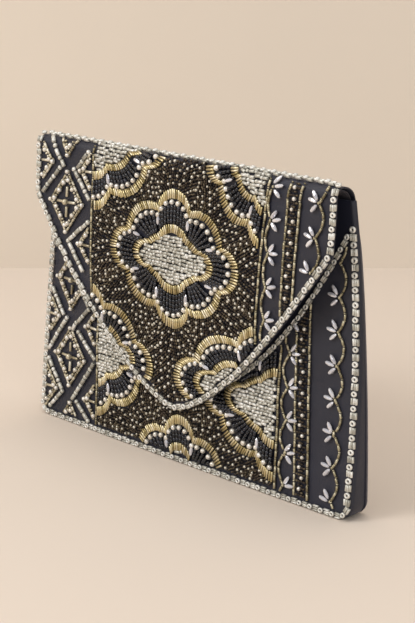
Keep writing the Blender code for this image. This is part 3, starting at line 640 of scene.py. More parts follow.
def model_seed():
    """A rounded seed bead, hole along X."""
    deselect()
    bpy.ops.mesh.primitive_uv_sphere_add(segments=8, ring_count=5, radius=0.5, rotation=ALONG_X)
    obj = applied()
    for side in (-1, 1):
        select_faces(obj, lambda c, s=side: c.x * s > 0.38)
        bpy.ops.transform.translate(value=(-0.12 * side, 0.0, 0.0))
    bpy.ops.object.mode_set(mode="OBJECT")
    return taken(obj)


def model_pearl():
    """A round pearl with a dimple at each end of its hole along X."""
    deselect()
    bpy.ops.mesh.primitive_uv_sphere_add(segments=10, ring_count=7, radius=0.5, rotation=ALONG_X)
    obj = applied()
    for side in (-1, 1):
        select_faces(obj, lambda c, s=side: c.x * s > 0.44)
        bpy.ops.mesh.inset(thickness=0.03, depth=-0.06)
    return taken(obj)


def model_ring():
    """A thick round bead sewn on flat, its hole facing out along Z."""
    deselect()
    size = {"major_radius": 0.33, "minor_radius": 0.17}
    bpy.ops.mesh.primitive_torus_add(major_segments=12, minor_segments=6, **size)
    obj = bpy.context.object
    select_faces(obj, lambda c: True)
    bpy.ops.transform.resize(value=(1.0, 1.0, 1.9))
    return taken(obj)


def model_navette():
    """A cut stone pointed at both ends, faceted, its table facing out."""
    deselect()
    bpy.ops.mesh.primitive_uv_sphere_add(segments=8, ring_count=4, radius=0.5, rotation=ALONG_X)
    obj = applied()
    bpy.ops.object.mode_set(mode="OBJECT")
    for vert in obj.data.vertices:
        vert.select = 0.2 < abs(vert.co.x) < 0.45
    bpy.ops.object.mode_set(mode="EDIT")
    bpy.ops.transform.resize(value=(0.78, 0.84, 0.84))
    return taken(obj, flat=True)


BEADS = {}
TONES = {"ring": (0.8, 1.0), "pearl": (0.35, 1.0), "navette": (0.5, 1.0)}


def bead(kind):
    if kind not in BEADS:
        makers = {"bugle": model_bugle, "seed": model_seed, "pearl": model_pearl}
        makers.update({"ring": model_ring, "navette": model_navette})
        BEADS[kind] = makers[kind]()
    return BEADS[kind]


class Strings:
    """Beads sewn on one panel. Each is kept as u, v, turn, length, width, height, lift."""

    def __init__(self, chart, seed):
        self.chart = chart
        self.rows = {}
        self.random = np.random.default_rng(seed)

    def sew(self, kind, u, v, turn, length, width, height=None, lift=None):
        height = width if height is None else height
        lift = height / 2 if lift is None else lift
        self.rows.setdefault(kind, []).append((u, v, turn, length, width, height, lift))

    def make(self, name, material, keep, loose=0.12, sway=2.5):
        """One mesh of every bead whose centre passes keep(u, v)."""
        points, faces, tones, flats, start = [], [], [], [], 0
        for kind, rows in self.rows.items():
            table = np.array(rows, float)
            table = table[keep(table[:, 0], table[:, 1])]
            if not len(table):
                continue
            count = len(table)
            table[:, :2] += self.random.normal(0.0, loose, (count, 2))
            table[:, 2] += np.radians(self.random.normal(0.0, sway, count))
            table[:, 3:6] *= self.random.normal(1.0, 0.03, (count, 1))
            shape = bead(kind)
            place, across, up, out = frame_at(self.chart, table[:, 0], table[:, 1])
            cos, sin = np.cos(table[:, 2])[:, None], np.sin(table[:, 2])[:, None]
            along, side = across * cos + up * sin, up * cos - across * sin
            local = shape["points"][None, :, :] * table[:, None, 3:6]
            spot = place + out * (table[:, 6:7] + 0.25)
            world = spot[:, None, :] + local[:, :, 0:1] * along[:, None, :]
            world += local[:, :, 1:2] * side[:, None, :] + local[:, :, 2:3] * out[:, None, :]
            size = len(shape["points"])
            points.append(world.reshape(-1, 3))
            low, high = TONES.get(kind, (0.0, 1.0))
            tones.append(np.repeat(self.random.uniform(low, high, count), size))
            for sizes in sorted({len(f) for f in shape["faces"]}):
                same = np.array([f for f in shape["faces"] if len(f) == sizes])
                stamped = same[None, :, :] + (np.arange(count) * size)[:, None, None] + start
                faces.append(stamped.reshape(-1, sizes))
                flats.append(np.full(len(faces[-1]), shape["flat"]))
            start += size * count
        mesh = bpy.data.meshes.new(name)
        co = np.concatenate(points) * MM
        loops = np.concatenate([f.reshape(-1) for f in faces])
        totals = np.concatenate([np.full(len(f), f.shape[1]) for f in faces])
        mesh.vertices.add(len(co))
        mesh.vertices.foreach_set("co", co.reshape(-1).astype(np.float32))
        mesh.loops.add(len(loops))
        mesh.loops.foreach_set("vertex_index", loops.astype(np.int32))
        mesh.polygons.add(len(totals))
        mesh.polygons.foreach_set("loop_start", (np.cumsum(totals) - totals).astype(np.int32))
        mesh.polygons.foreach_set("use_smooth", ~np.concatenate(flats))
        mesh.update(calc_edges=True)
        tone = mesh.attributes.new("tone", "FLOAT", "POINT")
        tone.data.foreach_set("value", np.concatenate(tones).astype(np.float32))
        obj = bpy.data.objects.new(name, mesh)
        bpy.context.scene.collection.objects.link(obj)
        mesh.materials.append(finish(material))
        return obj


def settle(obj, chart, slot, *nodes):
    """Attaches a pouch piece to the pouch body, bakes a flap piece's transform into its mesh, and hides
    the solids it stands for; slot is not used.
    """
    if chart == "flap":
        fold_over(obj)
    else:
        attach(obj, "pouch")
    if nodes:
        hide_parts(*nodes)
    return obj


def fold_over(obj):
    """The piece crosses the front crease; only its transform is baked into its mesh."""
    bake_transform(obj)


def tip_back(obj):
    """The piece crosses the rear crease; only its transform is baked into its mesh."""
    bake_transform(obj)


def walk(path, pitch, closed=False):
    """Places along a path at an even pitch: u, v and the path's direction there."""
    path = np.asarray(path, float)
    if closed:
        path = np.vstack([path, path[:1]])
    steps = np.hypot(*np.diff(path, axis=0).T)
    length = np.append(0.0, np.cumsum(steps))
    count = max(1, round(length[-1] / pitch))
    at = (np.arange(count) + 0.5) * length[-1] / count
    u, v = np.interp(at, length, path[:, 0]), np.interp(at, length, path[:, 1])
    ahead, behind = np.clip(at + 0.6, 0, length[-1]), np.clip(at - 0.6, 0, length[-1])
    du = np.interp(ahead, length, path[:, 0]) - np.interp(behind, length, path[:, 0])
    dv = np.interp(ahead, length, path[:, 1]) - np.interp(behind, length, path[:, 1])
    return u, v, np.arctan2(dv, du)


def arc_between(start, end, rise, steps):
    """Points of the arc that bows out to the right of start to end by rise, without its end."""
    a, b = np.array(start, float), np.array(end, float)
    half = np.linalg.norm(b - a) / 2
    radius = (half**2 + rise**2) / (2 * rise)
    out = np.array([(b - a)[1], -(b - a)[0]]) / (2 * half)
    centre = (a + b) / 2 + out * (rise - radius)
    first = math.atan2(*(a - centre)[::-1])
    sweep = 2 * math.atan2(half, radius - rise)
    turns = first + sweep * np.arange(steps) / steps
    return np.stack([centre[0] + radius * np.cos(turns), centre[1] + radius * np.sin(turns)], -1)


def medallion(place, inset, steps=14):
    """The eight-lobed outline of a medallion, drawn in by inset; every inset has the same points."""
    centre_u, centre_v, half_u, half_v, fan, pinch = place
    shapes = []
    for wide, high, (top, slant, side) in (OUTER_LOBES, INNER_LOBES):
        corners = [(wide[0], -wide[1]), wide, high, (-high[0], high[1])]
        corners += [(-u, -v) for u, v in corners]
        rises = [side, slant, top, slant, side, slant, top, slant]
        arcs = [arc_between(corners[k], corners[(k + 1) % 8], rises[k], steps) for k in range(8)]
        shapes.append(np.vstack(arcs) / np.array(MEDALLION_HALF))
    share = min(max((inset - RING) / fan, 0.0), 1.0) * pinch
    unit = shapes[0] * (1.0 - share) + shapes[1] * share
    return unit * (half_u - inset, half_v - inset) + (centre_u, centre_v)


def inside(outline, u, v):
    """Whether each point lies in a closed outline."""
    u, v = np.asarray(u, float), np.asarray(v, float)
    found = np.zeros(u.shape, bool)
    for (u1, v1), (u2, v2) in zip(outline, np.roll(outline, -1, axis=0)):
        crosses = (v1 > v) != (v2 > v)
        found ^= crosses & (u < (u2 - u1) * (v - v1) / (v2 - v1 + 1e-12) + u1)
    return found


def in_area(chart, u, v, clear=TRIM_CLEAR):
    """Whether each point lies on the beaded part of a panel, that far inside its edge trims."""
    if chart == "flap":
        slope = (FLAP_CORNER_Z - FLAP_TIP_Z) * FLAP_EDGE_POWER / FLAP_HALF
        slope = slope * np.minimum(np.abs(u) / FLAP_HALF, 1.0) ** (FLAP_EDGE_POWER - 1)
        margin = (clear - 0.6) * np.hypot(1.0, slope)
        return (v > flap_edge_z(u) + margin) & (np.abs(u) < FLAP_HALF - clear) & (v < FLAP_CREST - 3.0)
    return (v > clear) & (np.abs(u) < outline_half(v) - clear) & (v < vee_z(u) - 3.0)


def band_right(chart, v):
    return np.interp(v, *FLAP_LEAN) if chart == "flap" else FRONT_BAND[1]


def in_band(chart, u, v, clear=1.6):
    low = FLAP_BAND_LEFT if chart == "flap" else FRONT_BAND[0]
    return (u > low + clear) & (u < band_right(chart, v) - clear)


def everywhere(u, v):
    return np.ones(len(u), bool)


def medallions_of(chart):
    return FLAP_MEDALLIONS if chart == "flap" else FRONT_MEDALLIONS


# ---------------------------------------------------------------- shell


def sheet_mesh(name, points, material, thickness):
    """A cloth from a grid of points, given its thickness inwards."""
    rows, columns = points.shape[:2]
    mesh = bpy.data.meshes.new(name)
    index = np.arange(rows * columns).reshape(rows, columns)
    quads = np.stack([index[:-1, :-1], index[:-1, 1:], index[1:, 1:], index[1:, :-1]], -1)
    mesh.from_pydata((points.reshape(-1, 3) * MM).tolist(), [], quads.reshape(-1, 4).tolist())
    mesh.update()
    obj = bpy.data.objects.new(name, mesh)
    bpy.context.scene.collection.objects.link(obj)
    deselect()
    obj.select_set(True)
    bpy.context.view_layer.objects.active = obj
    wall = obj.modifiers.new("cloth", "SOLIDIFY")
    wall.thickness = thickness * MM
    wall.offset = -1.0
    wall.use_even_offset = False
    bpy.ops.object.modifier_apply(modifier=wall.name)
    ease = obj.modifiers.new("rim", "BEVEL")
    ease.width = thickness * 0.3 * MM
    ease.segments = 2
    ease.limit_method = "ANGLE"
    ease.angle_limit = math.radians(60)
    bpy.ops.object.modifier_apply(modifier=ease.name)
    bpy.ops.object.shade_smooth_by_angle(angle=math.radians(50))
    mesh.materials.append(finish(material))
    return obj


def flap_grid(depth, inset, low, high, columns=97, rows=70):
    """Points of the flap, from its edge up over the front of the fold."""
    side = FLAP_HALF - inset
    turn = np.linspace(-1.0, 1.0, columns)
    u = side * np.sign(turn) * np.abs(turn) ** 0.9
    edge = np.maximum(flap_edge_z(u) + inset, low)
    share = np.linspace(0.0, 1.0, rows)[:, None]
    v = edge[None, :] + (high - edge[None, :]) * share
    uu = np.repeat(u[None, :], rows, 0)
    place, _, _, out = frame_at("flap", uu, v)
    return place - out * depth


def wrinkle(points, amount, scale, seed=0.0):
    """Low soft waves, so that cloth is not a perfect surface."""
    x, y, z = points[..., 0], points[..., 1], points[..., 2]
    wave = np.sin(x * scale + 1.3 * seed + 0.7 * np.sin(z * scale * 0.6))
    wave = wave * np.sin(z * scale * 0.8 + seed + 0.9 * np.sin(x * scale * 0.5 + y))
    moved = points.copy()
    moved[..., 1] += amount * wave
    return moved


def pouch_loop(z, depth, count):
    """Half a section of the pouch, from the seam at the back, round the side, to the front middle."""
    reach = outline_half(z) - depth
    front = front_y(reach, z) + depth
    seam = BACK_Y - 1.0 - depth
    radius = SIDE_CORNER
    turns = np.linspace(0.0, math.pi / 2, 7)
    drawn = float(corner_pull(z))
    edge = reach - (drawn + 1.2) * np.linspace(1.0, 0.0, 8) ** 2
    side = np.stack([edge, np.linspace(seam, front + radius, 8)], -1)
    turned = (reach - radius + radius * np.cos(turns), front + radius - radius * np.sin(turns))
    corner = np.stack(turned, -1)
    us = np.linspace(reach - radius, 0.0, count)[1:]
    panel = np.stack([us, front_y(us, z) + depth], -1)
    return np.vstack([side[:-1], corner, panel])


def pouch_grid(depth, low, high, rows=60):
    """The front and sides of the pouch as one sheet of points."""
    share = np.linspace(0.0, 1.0, rows)
    heights = low + (high - low) * share**1.35
    grid = []
    for z in heights:
        half = pouch_loop(float(z), depth, 40)
        line = np.vstack([half * (1, 1), (half * (-1, 1))[-2::-1]])
        grid.append(np.column_stack([line, np.full(len(line), z)]))
    return np.array(grid)[:, ::-1]


def round_hem(points, radius=1.2):
    """Draws the lowest rows in, so that the cloth turns under at the base."""
    moved = points.copy()
    z = points[..., 2]
    tuck = radius * (1 - np.sqrt(np.clip(1 - (1 - np.clip(z / radius, 0, 1)) ** 2, 0, 1)))
    middle = BACK_Y - BASE_DEPTH / 2
    moved[..., 1] += np.sign(middle - points[..., 1]) * tuck
    return moved


def back_grid(depth, top=BACK_CREST, columns=97, rows=84):
    """The plain back from the base up over the rear of the fold, its sides wrapped round."""
    share = np.linspace(0.0, 1.0, rows)
    v = top * share**1.05
    t = np.linspace(-1.0, 1.0, columns)
    grid = []
    for height in v:
        reach = float(outline_half(min(height, CREASE_Z)) if height < CREASE_Z else FLAP_HALF)
        if height < CREASE_Z:
            near = np.clip((height - CREASE_Z + 14.0) / 14.0, 0.0, 1.0)
            reach += (FLAP_HALF - half_width(CREASE_Z)) * near
        reach -= depth + float(corner_pull(height))
        wrap = BACK_WRAP * np.clip((CREASE_Z + 4.0 - height) / 10.0, 0.0, 1.0)
        span = reach - wrap
        u = t * (span + math.pi / 2 * wrap)
        over = np.clip((np.abs(u) - span) / max(wrap, 1e-6), 0.0, math.pi / 2)
        x = np.where(np.abs(u) <= span, u, np.sign(u) * (span + wrap * np.sin(over)))
        place, _, _, out = frame_at("back", -x, np.full(columns, height))
        lean = wrap * (1 - np.cos(over))
        point = place - out * depth
        point[:, 1] -= lean
        grid.append(point)
    return np.array(grid)[:, ::-1]


# ---------------------------------------------------------------- beadwork


def edge_trim(strings, path, pitch=8.1, wide=4.3, raised=0.0):
    """Round beads along an edge, each followed by three short bars side by side."""
    u, v, turn = walk(path, pitch)
    for a, b, angle in zip(u, v, turn):
        cos, sin = math.cos(angle), math.sin(angle)
        at, size = TRIM_RING_AT * pitch, TRIM_SHARE * pitch
        high = TRIM_RING_HIGH + raised
        strings.sew("ring", a + cos * at, b + sin * at, angle, size, 0.93 * wide, high)
        at, high = TRIM_BARS_AT * pitch, TRIM_BARS_HIGH + raised
        for k in (-1, 0, 1):
            x, y = a + cos * at - sin * wide * k / 3, b + sin * at + cos * wide * k / 3
            strings.sew("bugle", x, y, angle, size, wide / 3.1, high)


def chevron_line(strings, path, pitch=8.2):
    """A single row of silver tubes with a round bead between one and the next."""
    u, v, turn = walk(path, pitch)
    for a, b, angle in zip(u, v, turn):
        cos, sin = math.cos(angle), math.sin(angle)
        at = CHEVRON_PEARL_AT * pitch
        strings.sew("pearl", a + cos * at, b + sin * at, angle, *CHEVRON_PEARL)
        at = CHEVRON_BAR_AT * pitch
        strings.sew("bugle", a + cos * at, b + sin * at, angle, *CHEVRON_BAR)


def bugle_line(strings, path, length=3.5, width=1.5, gap=1.2):
    """Short bugles in a line, with a tiny seed between one and the next."""
    u, v, turn = walk(path, length + gap)
    for a, b, angle in zip(u, v, turn):
        cos, sin = math.cos(angle), math.sin(angle)
        strings.sew("bugle", a, b, angle, length, width)
        at = (length + gap) / 2
        strings.sew("seed", a + cos * at, b + sin * at, angle, *LINK_SEED)


def radial_ring(strings, place, outer, inner, width, pitch, height=None, skip=0.0, cut=None):
    """Bugles, or short rows of cut beads, across the band between two insets of an outline."""
    out, near = medallion(place, outer), medallion(place, inner)
    middle = (out + near) / 2
    closed = np.vstack([middle, middle[:1]])
    length = np.append(0.0, np.cumsum(np.hypot(*np.diff(closed, axis=0).T)))
    notches = length[np.arange(0, len(middle) + 1, len(middle) // 8)]
    count = round(length[-1] / pitch)
    at = (np.arange(count) + 0.5) * length[-1] / count
    out, near = np.vstack([out, out[:1]]), np.vstack([near, near[:1]])
    for s in at:
        if skip and np.abs(notches - s).min() < skip:
            continue
        ou, ov = np.interp(s, length, out[:, 0]), np.interp(s, length, out[:, 1])
        nu, nv = np.interp(s, length, near[:, 0]), np.interp(s, length, near[:, 1])
        reach = math.hypot(ou - nu, ov - nv)
        turn = math.atan2(ov - nv, ou - nu)
        if cut is None:
            strings.sew("bugle", (ou + nu) / 2, (ov + nv) / 2, turn, reach * 0.97, width, height)
            continue
        beads = max(2, round(reach / cut))
        for k in range(beads):
            share = (k + 0.5) / beads
            u, v = nu + (ou - nu) * share, nv + (ov - nv) * share
            strings.sew("bugle", u, v, turn, reach / beads, width * (0.82 + 0.14 * share), height)


def leaf_spray(strings, stems, u, v, side):
    """Three cut stones that fan out from one point of a vine."""
    for turn, reach in LEAVES:
        angle = math.radians(turn if side > 0 else 180 - turn)
        out = reach / 2 + 0.5
        x, y = u + out * math.cos(angle), v + out * math.sin(angle)
        strings.sew("navette", x, y, angle, reach, LEAF_WIDE, LEAF_HIGH)
    stems.sew("seed", u, v, 0.0, STEM_SEED, STEM_SEED)


def vine_path(cusps, side, bow):
    """A scalloped line: cusps on the leaf side, bowing away from the leaves between them."""
    points = []
    for low, high in zip(np.array(cusps)[:-1], np.array(cusps)[1:]):
        for share in np.linspace(0.0, 1.0, 12)[:-1]:
            points.append(low + (high - low) * share - (side * bow * math.sin(math.pi * share), 0.0))
    return np.array(points)


def diamond_motif(gold, pearls, u, v, half_u, half_v):
    """A gold diamond lined with pearls and seeds, with an upright cross and a bead in its middle."""
    corners = [(u, v - half_v), (u + half_u, v), (u, v + half_v), (u - half_u, v)]
    bugle_line(gold, corners + corners[:1], 3.0, 1.7, 1.2)
    small = [(u + (a - u) * 0.82, v + (b - v) * 0.82) for a, b in corners]
    for k, (a, b, angle) in enumerate(zip(*walk(small, 2.3, closed=True))):
        if k % 3 == 1:
            pearls.sew("pearl", a, b, angle, 3.1, 3.1)
        else:
            gold.sew("seed", a, b, angle, 2.0, 2.0)
    for a, b in ((-1, 0), (1, 0), (0, -1), (0, 1)):
        angle = math.atan2(b, a)
        gold.sew("bugle", u + a * half_u * 0.34, v + b * half_v * 0.34, angle, 6.4, 1.8)
        pearls.sew("pearl", u + a * half_u, v + b * half_v, angle, 3.0, 3.0)
    gold.sew("pearl", u, v, 0.0, 4.0, 4.0)


# ---------------------------------------------------------------- settings


def colour_setting(name, description, value):
    return bpy.props.FloatVectorProperty(
        name=name, description=description, default=value, subtype="COLOR", size=3, min=0.0, max=1.0
    )


def size_setting(name, description, value, low, high):
    return bpy.props.FloatProperty(
        name=name, description=description, default=value, min=low, max=high,
        unit="LENGTH", subtype="DISTANCE",
    )


class ClutchColours(bpy.types.PropertyGroup):
    satin: colour_setting("Satin", "Lit threads of the satin", (0.018, 0.020, 0.037))
    satin_dark: colour_setting("Satin shade", "Shaded threads of the satin", (0.008, 0.009, 0.018))
    lining: colour_setting("Lining", "Lit threads of the lining", (0.050, 0.047, 0.056))
    lining_dark: colour_setting("Lining shade", "Shaded threads of the lining", (0.026, 0.024, 0.030))
    gold: colour_setting("Gold beads", "Metal-lined gold bugles", (0.72, 0.61, 0.35))
    old_gold: colour_setting("Old gold beads", "Duller gold of the rails and vines", (0.46, 0.41, 0.27))
    champagne: colour_setting("Champagne beads", "Pale gold of the diamonds", (0.63, 0.57, 0.42))
    silver: colour_setting("Silver beads", "Silver-lined bars and seeds", (0.66, 0.65, 0.58))
    pearl: colour_setting("Pearls", "Round pearls", (0.84, 0.79, 0.70))
    dim_pearl: colour_setting("Small pearls", "Duller small pearls of the ground", (0.58, 0.54, 0.44))
    black: colour_setting("Black bugles", "Long black bugles", (0.008, 0.009, 0.014))
    bronze: colour_setting("Bronze seeds", "Dark seeds of the ground", (0.075, 0.055, 0.040))
    crystal: colour_setting("Crystal", "Cut stones", (0.76, 0.76, 0.83))
    snap: colour_setting("Snap", "Brass of the magnetic snap", (0.70, 0.58, 0.34))
    floor: colour_setting("Floor", "Stage floor", (0.735, 0.645, 0.56))
    wall: colour_setting("Wall", "Stage wall", (0.77, 0.685, 0.585))


class ClutchSizes(bpy.types.PropertyGroup):
    seed: size_setting("Seed bead", "Width of a ground seed", 0.0019, 0.001, 0.004)
    pearl: size_setting("Pearl", "Width of a ground pearl", 0.0021, 0.001, 0.004)
    bugle: size_setting("Bugle", "Width of a long black bugle", 0.0026, 0.001, 0.004)
    cloth: size_setting("Cloth", "Thickness of the satin", 0.0009, 0.0003, 0.002)


# ---------------------------------------------------------------- operators


class CLUTCH_OT_shell(bpy.types.Operator):
    """Model the satin shell: front and sides, plain back, base and flap"""

    bl_idname = "clutch.shell"
    bl_label = "Satin shell"

    def execute(self, context):
        thick = context.scene.clutch_sizes.cloth / MM
        front = round_hem(wrinkle(pouch_grid(0.0, 0.0, MOUTH_Z + 2.0), 0.12, 0.11, 2.0))
        piece = sheet_mesh("pouch_front_and_sides", front, "satin", thick)
        settle(piece, "front", "satin", "front_cloth", "gusset", "mouth_binding")
        back = round_hem(wrinkle(back_grid(0.0), 0.25, 0.05, 1.0))
        piece = sheet_mesh("back_cover", back, "satin", thick)
        tip_back(piece)
        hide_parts("back_cloth", "fold_cloth", "fold_interlining")
        flap = wrinkle(flap_grid(0.0, 0.0, 0.0, FLAP_CREST), 0.15, 0.09, 3.0)
        piece = sheet_mesh("flap_cover", flap, "satin", thick)
        settle(piece, "flap", "satin", "flap_cloth", "flap_board")
        half = HALF_WIDTH - CORNER_RADIUS
        xs, ys = np.linspace(-half, half, 60), np.linspace(0.0, 1.0, 9)
        fronts = front_y(xs, np.zeros(60)) + 1.0
        y = fronts[None, :] + (BACK_Y - 1.0 - fronts[None, :]) * ys[:, None]
        base = np.stack([np.repeat(xs[None, :], 9, 0), y, np.full(y.shape, 0.1)], -1)[::-1]
        piece = sheet_mesh("base_cover", base, "satin", thick)
        settle(piece, "front", "satin")
        return {"FINISHED"}


class CLUTCH_OT_linings(bpy.types.Operator):
    """Model the linings of the pouch and the flap, and the back board's sheet"""

    bl_idname = "clutch.linings"
    bl_label = "Linings"

    def execute(self, context):
        inner = wrinkle(pouch_grid(WALL - 0.5, 3.2, MOUTH_Z - 1.5), 0.1, 0.13, 5.0)
        piece = sheet_mesh("pouch_lining_front", inner, "lining", 0.5)
        settle(piece, "front", "lining", "front_lining")
        rear = wrinkle(back_grid(WALL - 0.5)[4:], 0.1, 0.12, 4.0)
        piece = sheet_mesh("pouch_lining_back", rear, "lining", 0.5)
        tip_back(piece)
        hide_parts("back_lining", "fold_lining")
        piece = sheet_mesh("back_board_sheet", back_grid(1.2, 168.0)[3:], "board", 0.5)
        settle(piece, "front", "board", "back_board")
        flap = wrinkle(flap_grid(WALL - 0.5, 1.6, 0.0, FLAP_CREST), 0.1, 0.12, 6.0)
        piece = sheet_mesh("flap_lining_cloth", flap, "lining", 0.5)
        settle(piece, "flap", "lining", "flap_lining")
        return {"FINISHED"}


class CLUTCH_OT_hardware(bpy.types.Operator):
    """Finish the snap, the boards and the slip pocket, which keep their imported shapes"""

    bl_idname = "clutch.hardware"
    bl_label = "Snap, boards and pocket"

    def execute(self, context):
        kept = {"snap": "snap", "board": "board", "slip_pocket": "lining"}
        for name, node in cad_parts.items():
            if node.hide_render:
                continue
            for start, material in kept.items():
                if name.startswith(start) or name.endswith(start):
                    node.data.materials.clear()
                    node.data.materials.append(finish(material))
        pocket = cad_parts["slip_pocket_binding"]
        pocket.data.materials.clear()
        pocket.data.materials.append(finish("satin"))
        return {"FINISHED"}


class CLUTCH_OT_trims(bpy.types.Operator):
    """Sew the silver edge trims of the pouch, the flap and the crest"""

    bl_idname = "clutch.trims"
    bl_label = "Edge trims"

    def execute(self, context):
        heights = np.linspace(VEE_HIGH_Z + 1.3, 9.0, 30)
        for side, name in ((-1, "left"), (1, "right")):
            strings = Strings("front", 11 + side)
            reach = [float(outline_half(z)) - TRIM_INSET + 1.8 * z / VEE_HIGH_Z for z in heights]
            edge_trim(strings, [(side * x, z) for x, z in zip(reach, heights)])
            piece = strings.make(f"trim_{name}_beads", "silver", everywhere)
            settle(piece, "front", "silver_beads", f"trim_{name}")
        strings = Strings("front", 21)
        reach, bend = HALF_WIDTH - CORNER_RADIUS, CORNER_RADIUS - 2.0
        turns = np.linspace(0.0, math.pi / 2, 8)
        corner = [(reach + bend * math.sin(t), CORNER_RADIUS - bend * math.cos(t)) for t in turns]
        edge_trim(strings, [(-x, z) for x, z in corner[::-1]] + corner, wide=3.5)
        piece = strings.make("trim_base_beads", "silver", everywhere)
        settle(piece, "front", "silver_beads", "trim_base")
        strings = Strings("front", 22)
        us = np.linspace(1, -1, 60) * (half_width(VEE_HIGH_Z) - 3.2)
        edge_trim(strings, [(u, vee_z(u) + 2.5 * (u / us[0]) ** 6) for u in us], pitch=8.6, wide=3.4)
        piece = strings.make("trim_vee_beads", "silver", everywhere)
        settle(piece, "front", "silver_beads", "trim_vee")
        strings = Strings("flap", 23)
        us = np.linspace(1, -1, 80) * (FLAP_HALF - 1.5)
        path = [(u, flap_edge_z(u) + 2.0 * (1.0 + 0.5 * abs(u) / FLAP_HALF)) for u in us]
        edge_trim(strings, path, pitch=8.5, wide=4.1)
        piece = strings.make("trim_flap_edge_beads", "silver", everywhere)
        settle(piece, "flap", "silver_beads", "trim_flap_edge")
        for side, name in ((-1, "left"), (1, "right")):
            strings = Strings("flap", 25 + side)
            u = side * (FLAP_HALF - 1.0)
            edge_trim(strings, [(u, v) for v in np.linspace(FLAP_CREST, FLAP_CORNER_Z + 1.5, 12)], 7.9)
            piece = strings.make(f"trim_flap_{name}_beads", "silver", everywhere)
            settle(piece, "flap", "silver_beads", f"trim_flap_{name}")
        strings = Strings("flap", 27)
        reach = FLAP_HALF - 4.5
        edge_trim(strings, [(u, FLAP_CREST - 0.5) for u in np.linspace(-reach, reach, 40)], raised=0.4)
        piece = strings.make("trim_crest_beads", "silver", everywhere)
        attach(piece, "fold")
        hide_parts("trim_crest")
        return {"FINISHED"}


class CLUTCH_OT_medallions(bpy.types.Operator):
    """Sew the lobed medallions: gold rings, fans of black bugles, pearls, stones and silver middles"""

    bl_idname = "clutch.medallions"
    bl_label = "Medallions"

    def execute(self, context):
        bugle = context.scene.clutch_sizes.bugle / MM
        for chart in ("flap", "front"):
            gold, black, pearls = Strings(chart, 31), Strings(chart, 32), Strings(chart, 33)
            stones, core = Strings(chart, 34), Strings(chart, 35)
            places = medallions_of(chart)
            for place in places:
                radial_ring(gold, place, 0.0, RING, *OUTER_BUGLE)
                fan_end = RING + place[4]
                fan = (FAN_START, fan_end - 0.3)
                radial_ring(black, place, *fan, bugle, FAN_PITCH, skip=1.5, cut=FAN_CUT)
                radial_ring(gold, place, fan_end, fan_end + INNER_RING, *INNER_BUGLE)
                for a, b, angle in zip(*walk(medallion(place, RING + 2.0), 5.2, closed=True)):
                    pearls.sew("pearl", a, b, angle, *MEDALLION_PEARL)
                tips, roots = medallion(place, RING + 1.0), medallion(place, RING + 9.6)
                for k in range(0, len(tips), len(tips) // 8):
                    middle = (tips[k] + roots[k]) / 2
                    turn = math.atan2(*(tips[k] - roots[k])[::-1])
                    stones.sew("navette", *middle, turn, 8.6, 2.9, 2.4, 1.9)
                field = medallion(place, fan_end + INNER_RING + 0.6)
                (low_u, low_v), (high_u, high_v) = field.min(0), field.max(0)
                for row, v in enumerate(np.arange(low_v + 1.0, high_v, CORE_ROW)):
                    u = low_u + (row % 3) * 1.7
                    while u < high_u:
                        for kind, length, width, step in CORE_RUN[(row + int(u * 7)) % 2 :]:
                            at = u + step / 2
                            if inside(field, [at], [v])[0]:
                                core.sew(kind, at, v, 0.0, length, width)
                            u += step

            def keep(u, v, chart=chart):
                return in_area(chart, u, v) & in_band(chart, u, v)

            if chart == "flap":
                corners = ("upper_left", "upper_right", "lower_left", "lower_right")
                golds = [f"flap_medallion_{k}" for k in ("outer_ring", "inner_ring", *corners)]
                stood = {"gold": golds, "black": ["flap_medallion_bugle_ring"]}
                stood["core"] = ["flap_medallion_field"]
            else:
                stood = {"gold": [f"front_medallion_{k}" for k in ("left", "right", "base")]}
            runs = (
                (gold, "gold", "gold", "gold_beads"),
                (black, "black", "black", "black_beads"),
                (pearls, "pearls", "pearl", "silver_beads"),
                (stones, "stones", "crystal", "crystal"),
                (core, "core", "silver", "silver_beads"),
            )
            for strings, part, material, slot in runs:
                loose, sway = (0.26, 7.0) if part == "core" else (0.12, 2.5)
                piece = strings.make(f"{chart}_medallion_{part}", material, keep, loose, sway)
                settle(piece, chart, slot, *stood.get(part, ()))
        return {"FINISHED"}


class CLUTCH_OT_ground(bpy.types.Operator):
    """Fill the middle band round the medallions with rows of bronze seeds and small pearls"""

    bl_idname = "clutch.ground"
    bl_label = "Ground beads"

    def execute(self, context):
        sizes = context.scene.clutch_sizes
        seed, pearl = sizes.seed / MM, sizes.pearl / MM
        for chart in ("flap", "front"):
            seeds, pearls = Strings(chart, 41), Strings(chart, 42)
            places = medallions_of(chart)
            home = places[0] if chart == "flap" else places[2]
            for row in range(GROUND_ROWS):
                line = medallion(home, -1.2 - row * (seed + BEAD_GAP))
                wait = int(seeds.random.integers(1, 4)) if row % 2 else -1
                for a, b, angle in zip(*walk(line, seed + BEAD_GAP, closed=True)):
                    wait -= 1
                    if wait == 0:
                        wide = pearl * seeds.random.uniform(0.8, 1.05)
                        pearls.sew("pearl", a, b, angle, wide, wide)
                        wait = int(seeds.random.integers(2, 5))
                    else:
                        seeds.sew("seed", a, b, angle, seed * 0.92, seed)

            def keep(u, v, chart=chart, places=places):
                clear = in_area(chart, u, v) & in_band(chart, u, v)
                for place in places:
                    clear &= ~inside(medallion(place, -0.9), u, v)
                return clear

            piece = seeds.make(f"{chart}_ground_seeds", "bronze", keep, 0.2, 16.0)
            settle(piece, chart, "bronze_beads", f"{chart}_ground")
            settle(pearls.make(f"{chart}_ground_pearls", "dim_pearl", keep), chart, "silver_beads")
        return {"FINISHED"}


